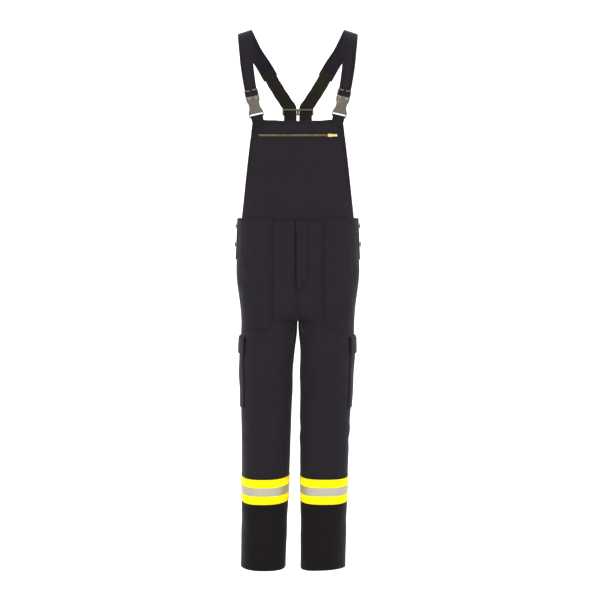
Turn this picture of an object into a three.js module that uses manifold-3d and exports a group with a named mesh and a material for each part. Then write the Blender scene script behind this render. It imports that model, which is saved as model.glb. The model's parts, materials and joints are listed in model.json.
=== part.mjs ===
// Bib-and-brace trousers for firefighters, worn size, front facing -Y, the wearer's left at +X.
// Built as the cloth panels, pockets, bands, braces, buckles and zips that are sewn and clipped
// together. Millimetres, +Z up. Heights are measured from the hem while building; the last lines
// move the origin up to the line on which the braces rest.
import * as THREE from 'three';
import { mergeVertices } from 'three/addons/utils/BufferGeometryUtils.js';
import Module from 'manifold-3d';

const wasm = await Module();
wasm.setup();

// ---------------------------------------------------------------- driving dimensions
// Legs and seat
const INSEAM = 761;             // hem to crotch
const RISE = 316;               // crotch to the top of the waistband
const LEG_CENTRE = 92;          // middle plane to the axis of a leg
const HEM_WIDTH = 139;          // width of a leg at the hem, seen from the front
const CALF_WIDTH = 145;
const KNEE_WIDTH = 152;
const THIGH_WIDTH = 167;
const CROTCH_HALF = 174;        // half the width across both legs at the crotch
const HIP_HALF = 190;           // half the width across the hips
const WAIST_HALF = 183;         // half the width at the waist
const HEM_DEPTH = [78, 84];     // front and back half-depths of each section
const KNEE_DEPTH = [86, 90];
const THIGH_DEPTH = [104, 110];
const CROTCH_DEPTH = [113, 120];
const HIP_DEPTH = [121, 140];
const WAIST_DEPTH = [121, 116];
const CALF_HEIGHT = 213;
const KNEE_HEIGHT = 400;
const THIGH_DROP = 90;          // crotch down to the widest part of the thigh
const CROTCH_CURVE = 100;       // height over which the two leg tubes open into the seat
const HIP_RISE = 150;           // crotch up to the hip line
const SWAY = 0.022;             // sideways lean of the hanging legs, per millimetre below the crotch
const ROUNDNESS = 2.3;          // power of the superellipse of every section
const SEAT_ROUNDNESS = 3;       // and of the trunk right above the crotch, which is squarer
// Cloth
const CLOTH = 1.8;              // two layers and their seam, as one wall
const SEAM_GAP = 0.4;           // between panels sewn edge to edge
const LAY_GAP = 0.6;            // between a patch and the cloth that it is sewn on
const PATCH = 1.6;              // thickness of a pocket or flap
// Waistband, fly and side openings
const BAND_DEPTH = 46;          // height of the waistband
const BAND_STAND = 0.8;         // the waistband is this much thicker than the cloth below it
const FLY_GAP = 6.5;            // middle plane to the cloth beside the fly zip
const FLY_COVER = [-8, 36];     // the cover's free edge and its sewn edge, across the front
const FLY_SEWN_FROM = 14;       // where the cover comes down onto the cloth
const FLY_RISE = 3.2;           // how far the cover stands off the cloth over the zip
const VENT_LENGTH = 112;        // side opening, down from the waist
const VENT_GAPE = 2.5;          // middle of the side opening to either edge
const PLACKET_WIDTH = 38;       // strip that laps the side opening from the back
const BUTTON_RADIUS = 8.5;
const BUTTON_THICK = 2.6;
const SHANK_RADIUS = 2;
const SHANK_CLEARANCE = 0.6;
const BUTTON_DROPS = [23, 79];  // from the top of the waistband to each button
const BUTTON_SET = 9;           // side seam forward to the buttons
// Bib
const BIB_HEIGHT = 295;
const BIB_TOP_HALF = 133;
const BIB_BASE_HALF = 170;
const BIB_SAG = 6;              // dip in the middle of the top edge
const BIB_FLAT_FROM = 223;      // above the waist the bib is a flat sheet from here up
const BIB_STAND = 5;            // the flat part stands this much ahead of the waist
const LINING_SET = 5.9;         // bib's outer face to the pocket bag behind it
const LINING = 1.2;
const FACING_DEPTH = 17;
const FACING_HALF = 92;
const BAG_HALF = 127;
const BAG_FROM_ROW = 3;         // row of the bib at which the bag ends
// Back panel
const BACK_RISE = 165;          // waist up to the top of the back panel
const BACK_TOP_HALF = 62;
const BACK_BASE_HALF = 160;
// Zips
const BIB_ZIP_DROP = 48;        // top of the bib down to the zip
const BIB_ZIP_SPAN = [-117, 119];
const BIB_ZIP_PARKED = 95;      // the closed slider's place, across the bib
const FLY_ZIP_PARKED = 12;      // top of the waistband down to the closed slider
const ZIP_SLOT = 5.2;           // half the height of the cut that a zip lies in
const CHAIN_HALF = 2.8;
const CHAIN_THICK = 2.4;
const CHAIN_SPLIT = 0.8;        // middle of a zip to each row of teeth
const TOOTH_PITCH = 6;
const TAPE_WIDTH = 11;
const TAPE = 0.8;
const RUN_GAP = 0.3;            // clearance of everything that slides or turns
const SLIDER_LENGTH = 11;
const SLIDER_HALF = 4.4;
const SLIDER_PLATE = 1.2;
const CROWN = { length: 6.5, width: 2, bar: 0.9, stand: 1.8 };
const PULL = { length: 22, half: 3.4, thick: 1.1, eye: 5.2, rim: 1.2 };
// Pockets and bands on the legs
const POCKET_INNER = 74;        // middle plane to the inner edge of a front pocket
const POCKET_OUTER = 168;
const POCKET_MOUTH = [152, 875];// where the slanted mouth meets the waistband, and the side
const POCKET_FOOT = 16;         // the front pocket ends this much below the crotch
const POCKET_CHAMFER = 22;
const SEAT_POCKET = { inner: 28, outer: 150, foot: 92, head: 240, chamfer: 22 };
const CARGO_HEAD = 42;          // crotch down to the top of the cargo flap
const CARGO_LENGTH = 222;       // top of the flap to the foot of the pouch
const CARGO_SPAN = [-46, 58];   // degrees round the leg from the side seam, front to back
const CARGO_RISE = 3;           // how far the pouch stands off the leg
const CARGO_MOUTH = 18;         // top of the flap down to the pouch
const FLAP_LENGTH = 53;
const FLAP_RISE = 7.1;
const FLAP_LAP = 3;             // degrees by which the flap is wider than the pouch at either side
const HOOK_SPAN = [-18, 26];
const HOOK_DROP = [31, 47];
const HOOK = 0.7;
const TAPE_BAND = { foot: 212, height: 76, silver: 26 };
const BAND_THICK = 0.9;
const SILVER_THICK = 0.5;
// Braces and buckles
const BRACE_WIDTH = [35, 43, 46]; // at the buckle, on the shoulder and where the elastic starts
const BRACE = 2.2;
const ELASTIC_WIDTH = 39;
const ELASTIC = 1.7;
const ELASTIC_APART = 24.3;     // middle plane to the middle of each upright elastic
const ELASTIC_SEWN = 46;        // length of elastic sewn on the back panel
const LAP_GAP = 1;
const BRACE_LAP = 22;           // elastic sewn under the brace
const TILT = 13;                // degrees by which each buckle leans out
const BUCKLE_FOOT = [121, 5];   // bottom of the buckle: from the middle plane, above the bib
const BUCKLE_THICK = 8.6;
const BUCKLE_WALL = 1.6;
const BUCKLE_BACK = 3;          // the buckle reaches this much behind the bib's outer face
const BAR_THICK = 2;
const SOCKET = { length: 56, foot: 22, waist: 16.5, mouth: 20, bar: 5, slot: 6 };
const WINDOW = [26, 44];        // heights in the socket between which the latch arms show
const PLUG = { half: 20.5, base: 6, rail: 2.4, bar: 4, slot: 6.5, split: 3.5, gap: 0.4 };
const ARM = { reach: 34, set: 10, width: 3.2, head: 4.6, knuckle: 2.2 };
const TAB_WIDTH = 35;
const TAB = 1.5;
const TAB_SEWN = 24;
const BRIDGE = { half: 49, rail: 4.5, web: 4, height: 20, thick: 2.6 };
const BRIDGE_HEIGHT = 1408;

// ---------------------------------------------------------------- levels
const WAIST = INSEAM + RISE;
const BAND_FOOT = WAIST - BAND_DEPTH;
const VENT_FOOT = WAIST - VENT_LENGTH;
const BIB_TOP = WAIST + BIB_HEIGHT;
const BIB_ZIP = BIB_TOP - BIB_ZIP_DROP;
const BACK_TOP = WAIST + BACK_RISE;
const FRONT_Y = -WAIST_DEPTH[0];
const BIB_Y = FRONT_Y - BIB_STAND;
const FLY_FOOT = INSEAM + CROTCH_CURVE + 6;
// The run of one brace from buckle to elastic, and of the elastic down to the cross piece:
// across, depth and height, with the sideways roll of the cloth in degrees.
const BRACE_RUN = [
  [146, -126, 1495, 0], [151, -116, 1531, 2], [155, -97, 1574, 6], [159, -67, 1613, 12],
  [161, -35, 1635, 17], [161, -4, 1642, 18], [158, 26, 1638, 16], [149, 54, 1620, 10],
  [133, 82, 1590, 4], [112, 103, 1557, 0], [92, 114, 1520, 0],
];
const ELASTIC_RUN = [[60, 117.5, 1472, 0], [33, 119.3, 1432, 0]];
const ELASTIC_Y = 119.3;
const HANG = 1640;              // height of the line on which the braces rest

// ---------------------------------------------------------------- colours and materials
const cloth = (colour) => new THREE.MeshStandardMaterial({ color: colour, roughness: 0.92, metalness: 0 });
const plastic = (colour) => new THREE.MeshStandardMaterial({ color: colour, roughness: 0.55, metalness: 0 });
const navy = cloth(0x2e2a30);
const lining = cloth(0x26242a);
const elasticBlack = cloth(0x28251c);
const yellow = cloth(0xf8e71c);
const tapeBlack = cloth(0x211f24);
const hookBlack = cloth(0x1c1b1e);
const silver = new THREE.MeshStandardMaterial({ color: 0xb9b8b4, roughness: 0.45, metalness: 0.3 });
const brass = new THREE.MeshStandardMaterial({ color: 0xb59a45, roughness: 0.35, metalness: 1 });
const greyPlastic = plastic(0x8b8577);
const darkPlastic = plastic(0x4b483d);

const garment = new THREE.Group();

function add(name, geometry, material) {
  const mesh = new THREE.Mesh(geometry, material);
  mesh.name = name;
  garment.add(mesh);
}

// ---------------------------------------------------------------- solids
function manifoldOf(geometry) {
  const bare = new THREE.BufferGeometry().setAttribute('position', geometry.getAttribute('position'));
  if (geometry.index) bare.setIndex(geometry.index);
  const merged = mergeVertices(bare, 1e-4);
  return new wasm.Manifold(new wasm.Mesh({
    numProp: 3,
    vertProperties: merged.getAttribute('position').array,
    triVerts: new Uint32Array(merged.index.array),
  }));
}

function geometryOf(solid) {
  const mesh = solid.getMesh();
  const points = new Float32Array(mesh.numVert * 3);
  for (let i = 0; i < mesh.numVert; i++) {
    points.set(mesh.vertProperties.subarray(i * mesh.numProp, i * mesh.numProp + 3), i * 3);
  }
  return new THREE.BufferGeometry()
    .setAttribute('position', new THREE.BufferAttribute(points, 3))
    .setIndex(new THREE.BufferAttribute(new Uint32Array(mesh.triVerts), 1));
}

const cut = (a, ...bs) => geometryOf(bs.reduce((s, b) => s.subtract(manifoldOf(b)), manifoldOf(a)));
const join = (a, ...bs) => geometryOf(bs.reduce((s, b) => s.add(manifoldOf(b)), manifoldOf(a)));
const keep = (a, b) => geometryOf(manifoldOf(a).intersect(manifoldOf(b)));

function box([x0, x1], [y0, y1], [z0, z1]) {
  return new THREE.BoxGeometry(x1 - x0, y1 - y0, z1 - z0)
    .translate((x0 + x1) / 2, (y0 + y1) / 2, (z0 + z1) / 2);
}

// A closed solid between two grids of points of the same shape; `ring` joins each row end to end.
function gridSolid(outer, inner, ring = false) {
  const rows = outer.length;
  const cols = outer[0].length;
  const points = [...outer.flat(), ...inner.flat()];
  const at = (face, r, c) => (face * rows + r) * cols + (c % cols);
  const faces = [];
  const quad = (a, b, c, d) => faces.push(a, b, c, a, c, d);
  const spans = ring ? cols : cols - 1;
  for (let r = 0; r < rows - 1; r++) {
    for (let c = 0; c < spans; c++) {
      quad(at(0, r, c), at(0, r, c + 1), at(0, r + 1, c + 1), at(0, r + 1, c));
      quad(at(1, r + 1, c), at(1, r + 1, c + 1), at(1, r, c + 1), at(1, r, c));
    }
  }
  for (let c = 0; c < spans; c++) {
    quad(at(0, 0, c + 1), at(0, 0, c), at(1, 0, c), at(1, 0, c + 1));
    quad(at(0, rows - 1, c), at(0, rows - 1, c + 1), at(1, rows - 1, c + 1), at(1, rows - 1, c));
  }
  for (let r = 0; r < rows - 1 && !ring; r++) {
    quad(at(0, r, 0), at(0, r + 1, 0), at(1, r + 1, 0), at(1, r, 0));
    quad(at(0, r + 1, cols - 1), at(0, r, cols - 1), at(1, r, cols - 1), at(1, r + 1, cols - 1));
  }
  const normal = new THREE.Vector3();
  let volume = 0;
  for (let i = 0; i < faces.length; i += 3) {
    const [a, b, c] = [points[faces[i]], points[faces[i + 1]], points[faces[i + 2]]];
    volume += a.dot(normal.crossVectors(b, c));
  }
  if (volume < 0) faces.reverse();
  return new THREE.BufferGeometry().setFromPoints(points).setIndex(faces);
}

// An outline in X and Z as a slab from y0 to y1.
function slabXZ(outline, [y0, y1]) {
  const shape = new THREE.Shape(outline.map(([x, z]) => new THREE.Vector2(x, z)));
  return new THREE.ExtrudeGeometry(shape, { depth: y1 - y0, bevelEnabled: false })
    .rotateX(Math.PI / 2).translate(0, y1, 0);
}

// ---------------------------------------------------------------- the shape of the body
const legStation = (h, width, depth) =>
  ({ h, outer: LEG_CENTRE + width / 2, inner: LEG_CENTRE - width / 2, depth });
const LEG = [
  legStation(0, HEM_WIDTH, HEM_DEPTH),
  legStation(CALF_HEIGHT, CALF_WIDTH, [HEM_DEPTH[0] + 3, HEM_DEPTH[1] + 2]),
  legStation(KNEE_HEIGHT, KNEE_WIDTH, KNEE_DEPTH),
  legStation(INSEAM - THIGH_DROP, THIGH_WIDTH, THIGH_DEPTH),
  { h: INSEAM, outer: CROTCH_HALF, inner: 1.5, depth: CROTCH_DEPTH },
];
const TRUNK = [
  { h: INSEAM, outer: CROTCH_HALF, inner: -CROTCH_HALF, depth: CROTCH_DEPTH },
  { h: INSEAM + CROTCH_CURVE, outer: (CROTCH_HALF + 2 * HIP_HALF) / 3, inner: 0, depth: [HIP_DEPTH[0], HIP_DEPTH[1] - 7] },
  { h: INSEAM + HIP_RISE, outer: HIP_HALF, inner: 0, depth: HIP_DEPTH },
  { h: WAIST, outer: WAIST_HALF, inner: 0, depth: WAIST_DEPTH },
];

const { lerp, clamp, degToRad } = THREE.MathUtils;
const smoothstep = (t) => t * t * (3 - 2 * t);
const signedPower = (v, p) => Math.sign(v) * Math.abs(v) ** p;

function station(table, h) {
  let i = 0;
  while (i < table.length - 2 && h > table[i + 1].h) i++;
  const [a, b] = [table[i], table[i + 1]];
  const t = clamp((h - a.h) / (b.h - a.h), 0, 1);
  return {
    outer: lerp(a.outer, b.outer, t),
    inner: lerp(a.inner, b.inner, t),
    depth: [lerp(a.depth[0], b.depth[0], t), lerp(a.depth[1], b.depth[1], t)],
  };
}

function superellipse(centre, half, depth, phi, roundness = ROUNDNESS) {
  const power = 2 / roundness;
  return [centre + half * signedPower(Math.cos(phi), power), depth * signedPower(Math.sin(phi), power)];
}

// The wearer's left half. `v` runs round the body: 0 at the side seam, -1 at the middle of the
// front (or the inside of the leg), +1 at the middle of the back. Below the crotch each section is a
// closed loop about the leg; above it, half a loop about the trunk; in between, one opens into the other.
function bodyPoint(h, v, back) {
  const side = back ? 1 : 0;
  const leg = station(LEG, h);
  const a = superellipse((leg.outer + leg.inner) / 2, (leg.outer - leg.inner) / 2, leg.depth[side], v * Math.PI);
  if (h <= INSEAM) return new THREE.Vector3(a[0], a[1], h);
  const trunk = station(TRUNK, h);
  const squareness = lerp(SEAT_ROUNDNESS, ROUNDNESS, clamp((h - INSEAM) / HIP_RISE, 0, 1));
  const b = superellipse(0, trunk.outer, trunk.depth[side], v * Math.PI / 2, squareness);
  const t = clamp((h - INSEAM) / CROTCH_CURVE, 0, 1);
  const open = Math.sqrt(1 - (1 - t) ** 2);
  return new THREE.Vector3(lerp(a[0], b[0], open), lerp(a[1], b[1], open), h);
}

function bodyNormal(h, v, back) {
  const round = bodyPoint(h, v + 1e-3, back).sub(bodyPoint(h, v - 1e-3, back));
  const up = bodyPoint(h + 1, v, back).sub(bodyPoint(h - 1, v, back));
  return round.cross(up).normalize();
}

// Rows and columns of the cloth. Between them every sheet is flat, so that patches lie parallel to it.
const ROWS = [
  0, 110, CALF_HEIGHT, 305, KNEE_HEIGHT, KNEE_HEIGHT + 100, INSEAM - 165, INSEAM - THIGH_DROP, INSEAM - 38,
  INSEAM, INSEAM + 5, INSEAM + 15, INSEAM + 30, INSEAM + 56, INSEAM + CROTCH_CURVE,
  INSEAM + HIP_RISE, VENT_FOOT, VENT_FOOT + 33, BAND_FOOT, WAIST,
];
const COLUMNS = 12;
const GRID = ROWS.map((h) => Array.from({ length: 2 * COLUMNS + 1 }, (_, k) => {
  const v = k / COLUMNS - 1;
  return { point: bodyPoint(h, v, v > 0), normal: bodyNormal(h, v, v > 0) };
}));

const gridPoint = (row, k, out) => GRID[row][k].point.clone().addScaledVector(GRID[row][k].normal, out);

// Below the crotch the legs lean to the wearer's right; `side` is 1 for the wearer's left half.
function settle(point, side) {
  point.x = side * point.x - SWAY * Math.max(0, INSEAM - point.z);
  return point;
}

// A point `out` millimetres outside the cloth, at a height and a place round the body.
function skin(h, v, out) {
  let i = 0;
  while (i < ROWS.length - 2 && h > ROWS[i + 1]) i++;
  const t = (h - ROWS[i]) / (ROWS[i + 1] - ROWS[i]);
  const c = clamp((v + 1) * COLUMNS, 0, 2 * COLUMNS - 1e-6);
  const k = Math.floor(c);
  const along = (row) => gridPoint(row, k, out).lerp(gridPoint(row, k + 1, out), c - k);
  return along(i).lerp(along(i + 1), t);
}

// The place round the front or the back at which the cloth is `x` from the middle plane.
function placeOf(h, x, back) {
  let [near, far] = [0, 1];
  for (let i = 0; i < 40; i++) {
    const middle = (near + far) / 2;
    if (skin(h, back ? middle : -middle, 0).x > x) near = middle;
    else far = middle;
  }
  return back ? near : -near;
}

// The place round the side at which the cloth is `y` ahead of or behind the side seam.
function placeAtDepth(h, y) {
  let [low, high] = [-0.5, 0.5];
  for (let i = 0; i < 40; i++) {
    const middle = (low + high) / 2;
    if (skin(h, middle, 0).y < y) low = middle;
    else high = middle;
  }
  return low;
}

const rowsBetween = (h0, h1) => [h0, ...ROWS.filter((h) => h > h0 + 1 && h < h1 - 1), h1];

function placesBetween(v0, v1, extra = []) {
  const lines = Array.from({ length: 2 * COLUMNS + 1 }, (_, k) => k / COLUMNS - 1);
  const inside = [...lines, ...extra].filter((v) => v > v0 + 0.012 && v < v1 - 0.012);
  return [v0, ...inside.sort((a, b) => a - b), v1];
}

// A sheet laid on the body: `out(h, v)` is the height of its inner face above the cloth.
function sheet(side, heights, places, out, thick) {
  const face = (lift) => heights.map((h) => places.map((v) => settle(skin(h, v, out(h, v) + lift), side)));
  return gridSolid(face(thick), face(0));
}

const bothSides = (build) => {
  build(1, 'left');
  build(-1, 'right');
};

// ---------------------------------------------------------------- legs, seat and waistband
// One panel, with its edges drawn back from the side seam, the middle seam and the fly.
function panel(side, back, rows) {
  const columns = Array.from({ length: COLUMNS + 1 }, (_, k) => (back ? COLUMNS + k : COLUMNS - k));
  const towards = back ? 1 : -1;
  const face = (out) => rows.map((row) => columns.map((column, k) => {
    const p = gridPoint(row, column, out);
    const h = ROWS[row];
    if (k === 0) p.y = towards * (h > VENT_FOOT - 1 ? VENT_GAPE : SEAM_GAP / 2);
    if (k === COLUMNS) {
      if (h <= INSEAM) p.y = towards * SEAM_GAP / 2;
      else if (!back && h >= INSEAM + CROTCH_CURVE + 20) p.x = FLY_GAP;
      else p.x = SEAM_GAP / 2;
      if (h > INSEAM && Math.abs(p.y) < SEAM_GAP / 2) p.y = towards * SEAM_GAP / 2;
    }
    return settle(p, side);
  }));
  return gridSolid(face(0), face(-CLOTH));
}

const bandRow = ROWS.indexOf(BAND_FOOT);
const lowerRows = ROWS.slice(0, bandRow + 1).map((_, i) => i);

function waistband(side, back) {
  const towards = back ? 1 : -1;
  const middle = back ? SEAM_GAP / 2 : FLY_GAP;
  const face = (out) => [BAND_FOOT + SEAM_GAP, WAIST].map((h) =>
    Array.from({ length: COLUMNS + 1 }, (_, k) => {
      const p = skin(h, towards * k / COLUMNS, out);
      if (k === 0) p.y = towards * VENT_GAPE;
      if (k === COLUMNS) p.x = middle;
      return settle(p, side);
    }));
  return gridSolid(face(BAND_STAND), face(-CLOTH));
}

bothSides((side, name) => {
  add(`leg_front_${name}`, panel(side, false, lowerRows), navy);
  add(`leg_back_${name}`, panel(side, true, lowerRows), navy);
  add(`waistband_front_${name}`, waistband(side, false), navy);
});
add('waistband_back', join(waistband(1, true), waistband(-1, true),
  box([-1, 1], [WAIST_DEPTH[1] - CLOTH + 0.1, WAIST_DEPTH[1] + 0.7], [BAND_FOOT + SEAM_GAP, WAIST])), navy);

// ---------------------------------------------------------------- patch pockets
// A flat patch on the front or the back, with its outline drawn in X and Z.
function patch(side, back, heights, outline) {
  const places = back ? placesBetween(0.03, 0.99) : placesBetween(-0.99, -0.03);
  const flat = sheet(side, heights, places, (h) => LAY_GAP + (h >= BAND_FOOT ? BAND_STAND : 0), PATCH);
  const blade = slabXZ(outline.map(([x, z]) => [side * x, z]), back ? [20, 300] : [-300, -20]);
  return keep(flat, blade);
}

const pocketFoot = INSEAM - POCKET_FOOT;
bothSides((side, name) => {
  add(`front_pocket_${name}`, patch(side, false, rowsBetween(pocketFoot - 2, WAIST), [
    [POCKET_INNER, WAIST - 0.5], [POCKET_INNER, pocketFoot + POCKET_CHAMFER],
    [POCKET_INNER + POCKET_CHAMFER * 0.8, pocketFoot], [POCKET_OUTER, pocketFoot],
    [POCKET_OUTER, POCKET_MOUTH[1]], [POCKET_MOUTH[0], WAIST - 0.5],
  ]), navy);
  const { inner, outer, foot, head, chamfer } = SEAT_POCKET;
  const [low, high] = [INSEAM + foot, INSEAM + head];
  add(`seat_pocket_${name}`, patch(side, true, rowsBetween(low - 2, high + 2), [
    [inner, high], [inner, low + chamfer], [inner + chamfer, low],
    [outer - chamfer, low], [outer, low + chamfer], [outer, high],
  ]), navy);
});

// ---------------------------------------------------------------- cargo pockets
const round = (degrees) => degrees / 180;
const cargoHead = INSEAM - CARGO_HEAD;
const cargoFoot = cargoHead - CARGO_LENGTH;
bothSides((side, name) => {
  const [v0, v1] = CARGO_SPAN.map(round);
  const rim = round(5);
  const pouchHead = cargoHead - CARGO_MOUTH;
  const pouchRows = [cargoFoot, cargoFoot + 8, ...rowsBetween(cargoFoot + 9, pouchHead)];
  const pouchRise = (h, v) =>
    (h < cargoFoot + 1 || v < v0 + rim / 2 || v > v1 - rim / 2 ? LAY_GAP : CARGO_RISE);
  add(`cargo_pocket_${name}`,
    sheet(side, pouchRows, placesBetween(v0, v1, [v0 + rim, v1 - rim]), pouchRise, PATCH), navy);
  const flapRows = [cargoHead - FLAP_LENGTH, ...rowsBetween(cargoHead - FLAP_LENGTH + 2, cargoHead - 7), cargoHead];
  const flapRise = (h) => (h > cargoHead - 1 ? LAY_GAP : FLAP_RISE);
  add(`cargo_flap_${name}`, sheet(side, flapRows,
    placesBetween(v0 - round(FLAP_LAP), v1 + round(FLAP_LAP)), flapRise, PATCH), navy);
  const hooks = (out) => sheet(side, HOOK_DROP.map((d) => cargoHead - d).reverse(),
    placesBetween(...HOOK_SPAN.map(round)), () => out, HOOK);
  add(`flap_loop_${name}`, hooks(CARGO_RISE + PATCH + RUN_GAP), hookBlack);
  add(`flap_hook_${name}`, hooks(FLAP_RISE - RUN_GAP - HOOK), hookBlack);
});

// ---------------------------------------------------------------- bands on the lower legs
bothSides((side, name) => {
  const ring = (h0, h1, out, thick) => {
    const places = Array.from({ length: 2 * COLUMNS }, (_, k) => k / COLUMNS - 1);
    const face = (lift) => rowsBetween(h0, h1).map((h) => places.map((v) => settle(skin(h, v, lift), side)));
    return gridSolid(face(out + thick), face(out), true);
  };
  const { foot, height, silver: stripe } = TAPE_BAND;
  add(`hi_vis_band_${name}`, ring(foot, foot + height, LAY_GAP, BAND_THICK), yellow);
  add(`silver_stripe_${name}`, ring(foot + (height - stripe) / 2, foot + (height + stripe) / 2,
    LAY_GAP + BAND_THICK + RUN_GAP, SILVER_THICK), silver);
});

// ---------------------------------------------------------------- side openings
bothSides((side, name) => {
  const face = (lift) => rowsBetween(VENT_FOOT - 14, WAIST).map((h) => [-1, -0.5, 0, 0.5, 1].map((t) => {
    const y = t * PLACKET_WIDTH / 2;
    return settle(skin(h, placeAtDepth(h, y), BAND_STAND + LAY_GAP + lift), side).setY(y);
  }));
  const strip = gridSolid(face(PATCH), face(0));
  const buttons = BUTTON_DROPS.map((drop) => {
    const h = WAIST - drop;
    return settle(skin(h, placeAtDepth(h, -BUTTON_SET), 0), side);
  });
  const rod = (at, radius, from, to) => new THREE.CylinderGeometry(radius, radius, to - from, 20)
    .rotateZ(Math.PI / 2).translate(at.x + side * (from + to) / 2, at.y, at.z);
  add(`side_placket_${name}`, cut(strip,
    ...buttons.map((at) => rod(at, SHANK_RADIUS + SHANK_CLEARANCE, -6, 12))), navy);
  buttons.forEach((at, i) => add(`side_button_${i + 1}_${name}`,
    join(rod(at, SHANK_RADIUS, 1.2, 5), rod(at, BUTTON_RADIUS, 4.6, 4.6 + BUTTON_THICK)), darkPlastic));
});

// ---------------------------------------------------------------- bib and back panel
// The raised panels start on the curve of the waist and flatten as they rise. `out` is measured
// straight forward for the bib and straight back for the back panel.
function raisedPoint(back, x, h, out) {
  const top = back ? BACK_RISE : BIB_FLAT_FROM;
  const flat = back ? WAIST_DEPTH[1] + 2 : BIB_Y;
  const waist = skin(WAIST, placeOf(WAIST, Math.abs(x), back), 0).y;
  const t = smoothstep(clamp((h - WAIST) / top, 0, 1));
  return new THREE.Vector3(x, lerp(waist, flat, t) + (back ? out : -out), h);
}

const halfAt = (h, base, top, rise) => lerp(base, top, (h - WAIST) / rise);
const steps = (count) => Array.from({ length: count + 1 }, (_, i) => (2 * i) / count - 1);

function raisedPanel(back, rises, half, sag) {
  const face = (out) => rises.map((rise, r) => steps(12).map((t) => {
    const p = raisedPoint(back, t * half(WAIST + rise), WAIST + rise, out);
    if (r === rises.length - 1) p.z -= sag * (1 - t * t);
    return p;
  }));
  return gridSolid(face(0), face(-CLOTH));
}

const bibHalf = (h) => halfAt(h, BIB_BASE_HALF, BIB_TOP_HALF, BIB_HEIGHT);
const BIB_RISES = [SEAM_GAP, 30, 60, 90, 120, 150, 180, 205, BIB_FLAT_FROM, BIB_HEIGHT];
const bib = raisedPanel(false, BIB_RISES, bibHalf, BIB_SAG);
add('bib_panel', cut(bib, box(BIB_ZIP_SPAN, [BIB_Y - 5, BIB_Y + 5], [BIB_ZIP - ZIP_SLOT, BIB_ZIP + ZIP_SLOT])), navy);
add('bib_facing', box([-FACING_HALF, FACING_HALF], [BIB_Y + CLOTH + 0.4, BIB_Y + CLOTH + 0.4 + LINING],
  [BIB_TOP - BIB_SAG - 2 - FACING_DEPTH, BIB_TOP - BIB_SAG - 2]), lining);

// The pocket bag follows the bib's own rows and columns, so that it lies parallel behind it.
const bagRises = [...BIB_RISES.slice(BAG_FROM_ROW, -1), BIB_ZIP - WAIST + 16, BIB_ZIP - WAIST + 20];
bagRises.splice(1, 0, bagRises[0] + 4);
const bagFace = (lift) => bagRises.map((rise, r) => {
  const h = WAIST + rise;
  const columns = steps(12).slice(2, -2).map((t) => t * bibHalf(h));
  return [-BAG_HALF, -BAG_HALF + 4, ...columns, BAG_HALF - 4, BAG_HALF].map((x) => {
    const rim = r === 0 || r === bagRises.length - 1 || Math.abs(x) === BAG_HALF;
    return raisedPoint(false, x, h, -(rim ? CLOTH + LAY_GAP : LINING_SET) - lift);
  });
});
add('bib_pocket_bag', gridSolid(bagFace(0), bagFace(LINING)), lining);

add('back_panel', raisedPanel(true, [SEAM_GAP, 30, 60, 90, 120, BACK_RISE],
  (h) => halfAt(h, BACK_BASE_HALF, BACK_TOP_HALF, BACK_RISE), 0), navy);

// ---------------------------------------------------------------- fly cover
const coverFoot = FLY_FOOT - 4;
const coverFace = (lift) => rowsBetween(coverFoot - 2, WAIST).map((h) =>
  [FLY_COVER[0], 3, FLY_SEWN_FROM, FLY_SEWN_FROM + 4, 27, FLY_COVER[1]].map((x) => {
    const p = skin(h, placeOf(h, Math.max(Math.abs(x), 1), false), 0);
    return new THREE.Vector3(x, p.y - lift - (x > FLY_SEWN_FROM ? BAND_STAND + LAY_GAP : FLY_RISE), h);
  }));
add('fly_cover', keep(gridSolid(coverFace(PATCH), coverFace(0)), slabXZ([
  [FLY_COVER[0] - 1, WAIST + 1], [FLY_COVER[1] + 1, WAIST + 1], [FLY_COVER[1] + 1, coverFoot + 44],
  [FLY_COVER[1] - 5, coverFoot + 20], [FLY_SEWN_FROM + 3, coverFoot + 5], [FLY_COVER[0] - 1, coverFoot],
], [-300, 0])), navy);

// ---------------------------------------------------------------- zips
// Drawn along X with the cloth's outer face at Y = 0 and the middle of the chain at Z = 0.
const tapeFace = CLOTH + 0.4;
const chainFace = tapeFace + TAPE / 2 - CHAIN_THICK / 2;
const chainBack = chainFace + CHAIN_THICK;

function zipTapes([x0, x1]) {
  const reach = CHAIN_HALF + 0.2;
  return cut(box([x0, x1], [tapeFace, tapeFace + TAPE], [-reach - TAPE_WIDTH, reach + TAPE_WIDTH]),
    box([x0 + 3, x1 - 3], [0, 10], [-reach, reach]));
}

function zipChain([x0, x1], up) {
  const span = (a, b) => (up > 0 ? [a, b] : [-b, -a]);
  const rail = box([x0, x1], [chainFace, chainBack], span(CHAIN_SPLIT + 0.8, CHAIN_HALF));
  const count = Math.floor((x1 - x0) / TOOTH_PITCH);
  const teeth = Array.from({ length: count }, (_, i) => {
    const x = x0 + (i + 0.25 + (up > 0 ? 0 : 0.5)) * TOOTH_PITCH;
    return box([x, x + TOOTH_PITCH * 0.4], [chainFace + 0.3, chainBack - 0.3], span(CHAIN_SPLIT, CHAIN_SPLIT + 1));
  });
  return join(rail, ...teeth);
}

const sliderFace = chainFace - RUN_GAP - SLIDER_PLATE;
const pinY = sliderFace - CROWN.stand / 2;

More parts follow.
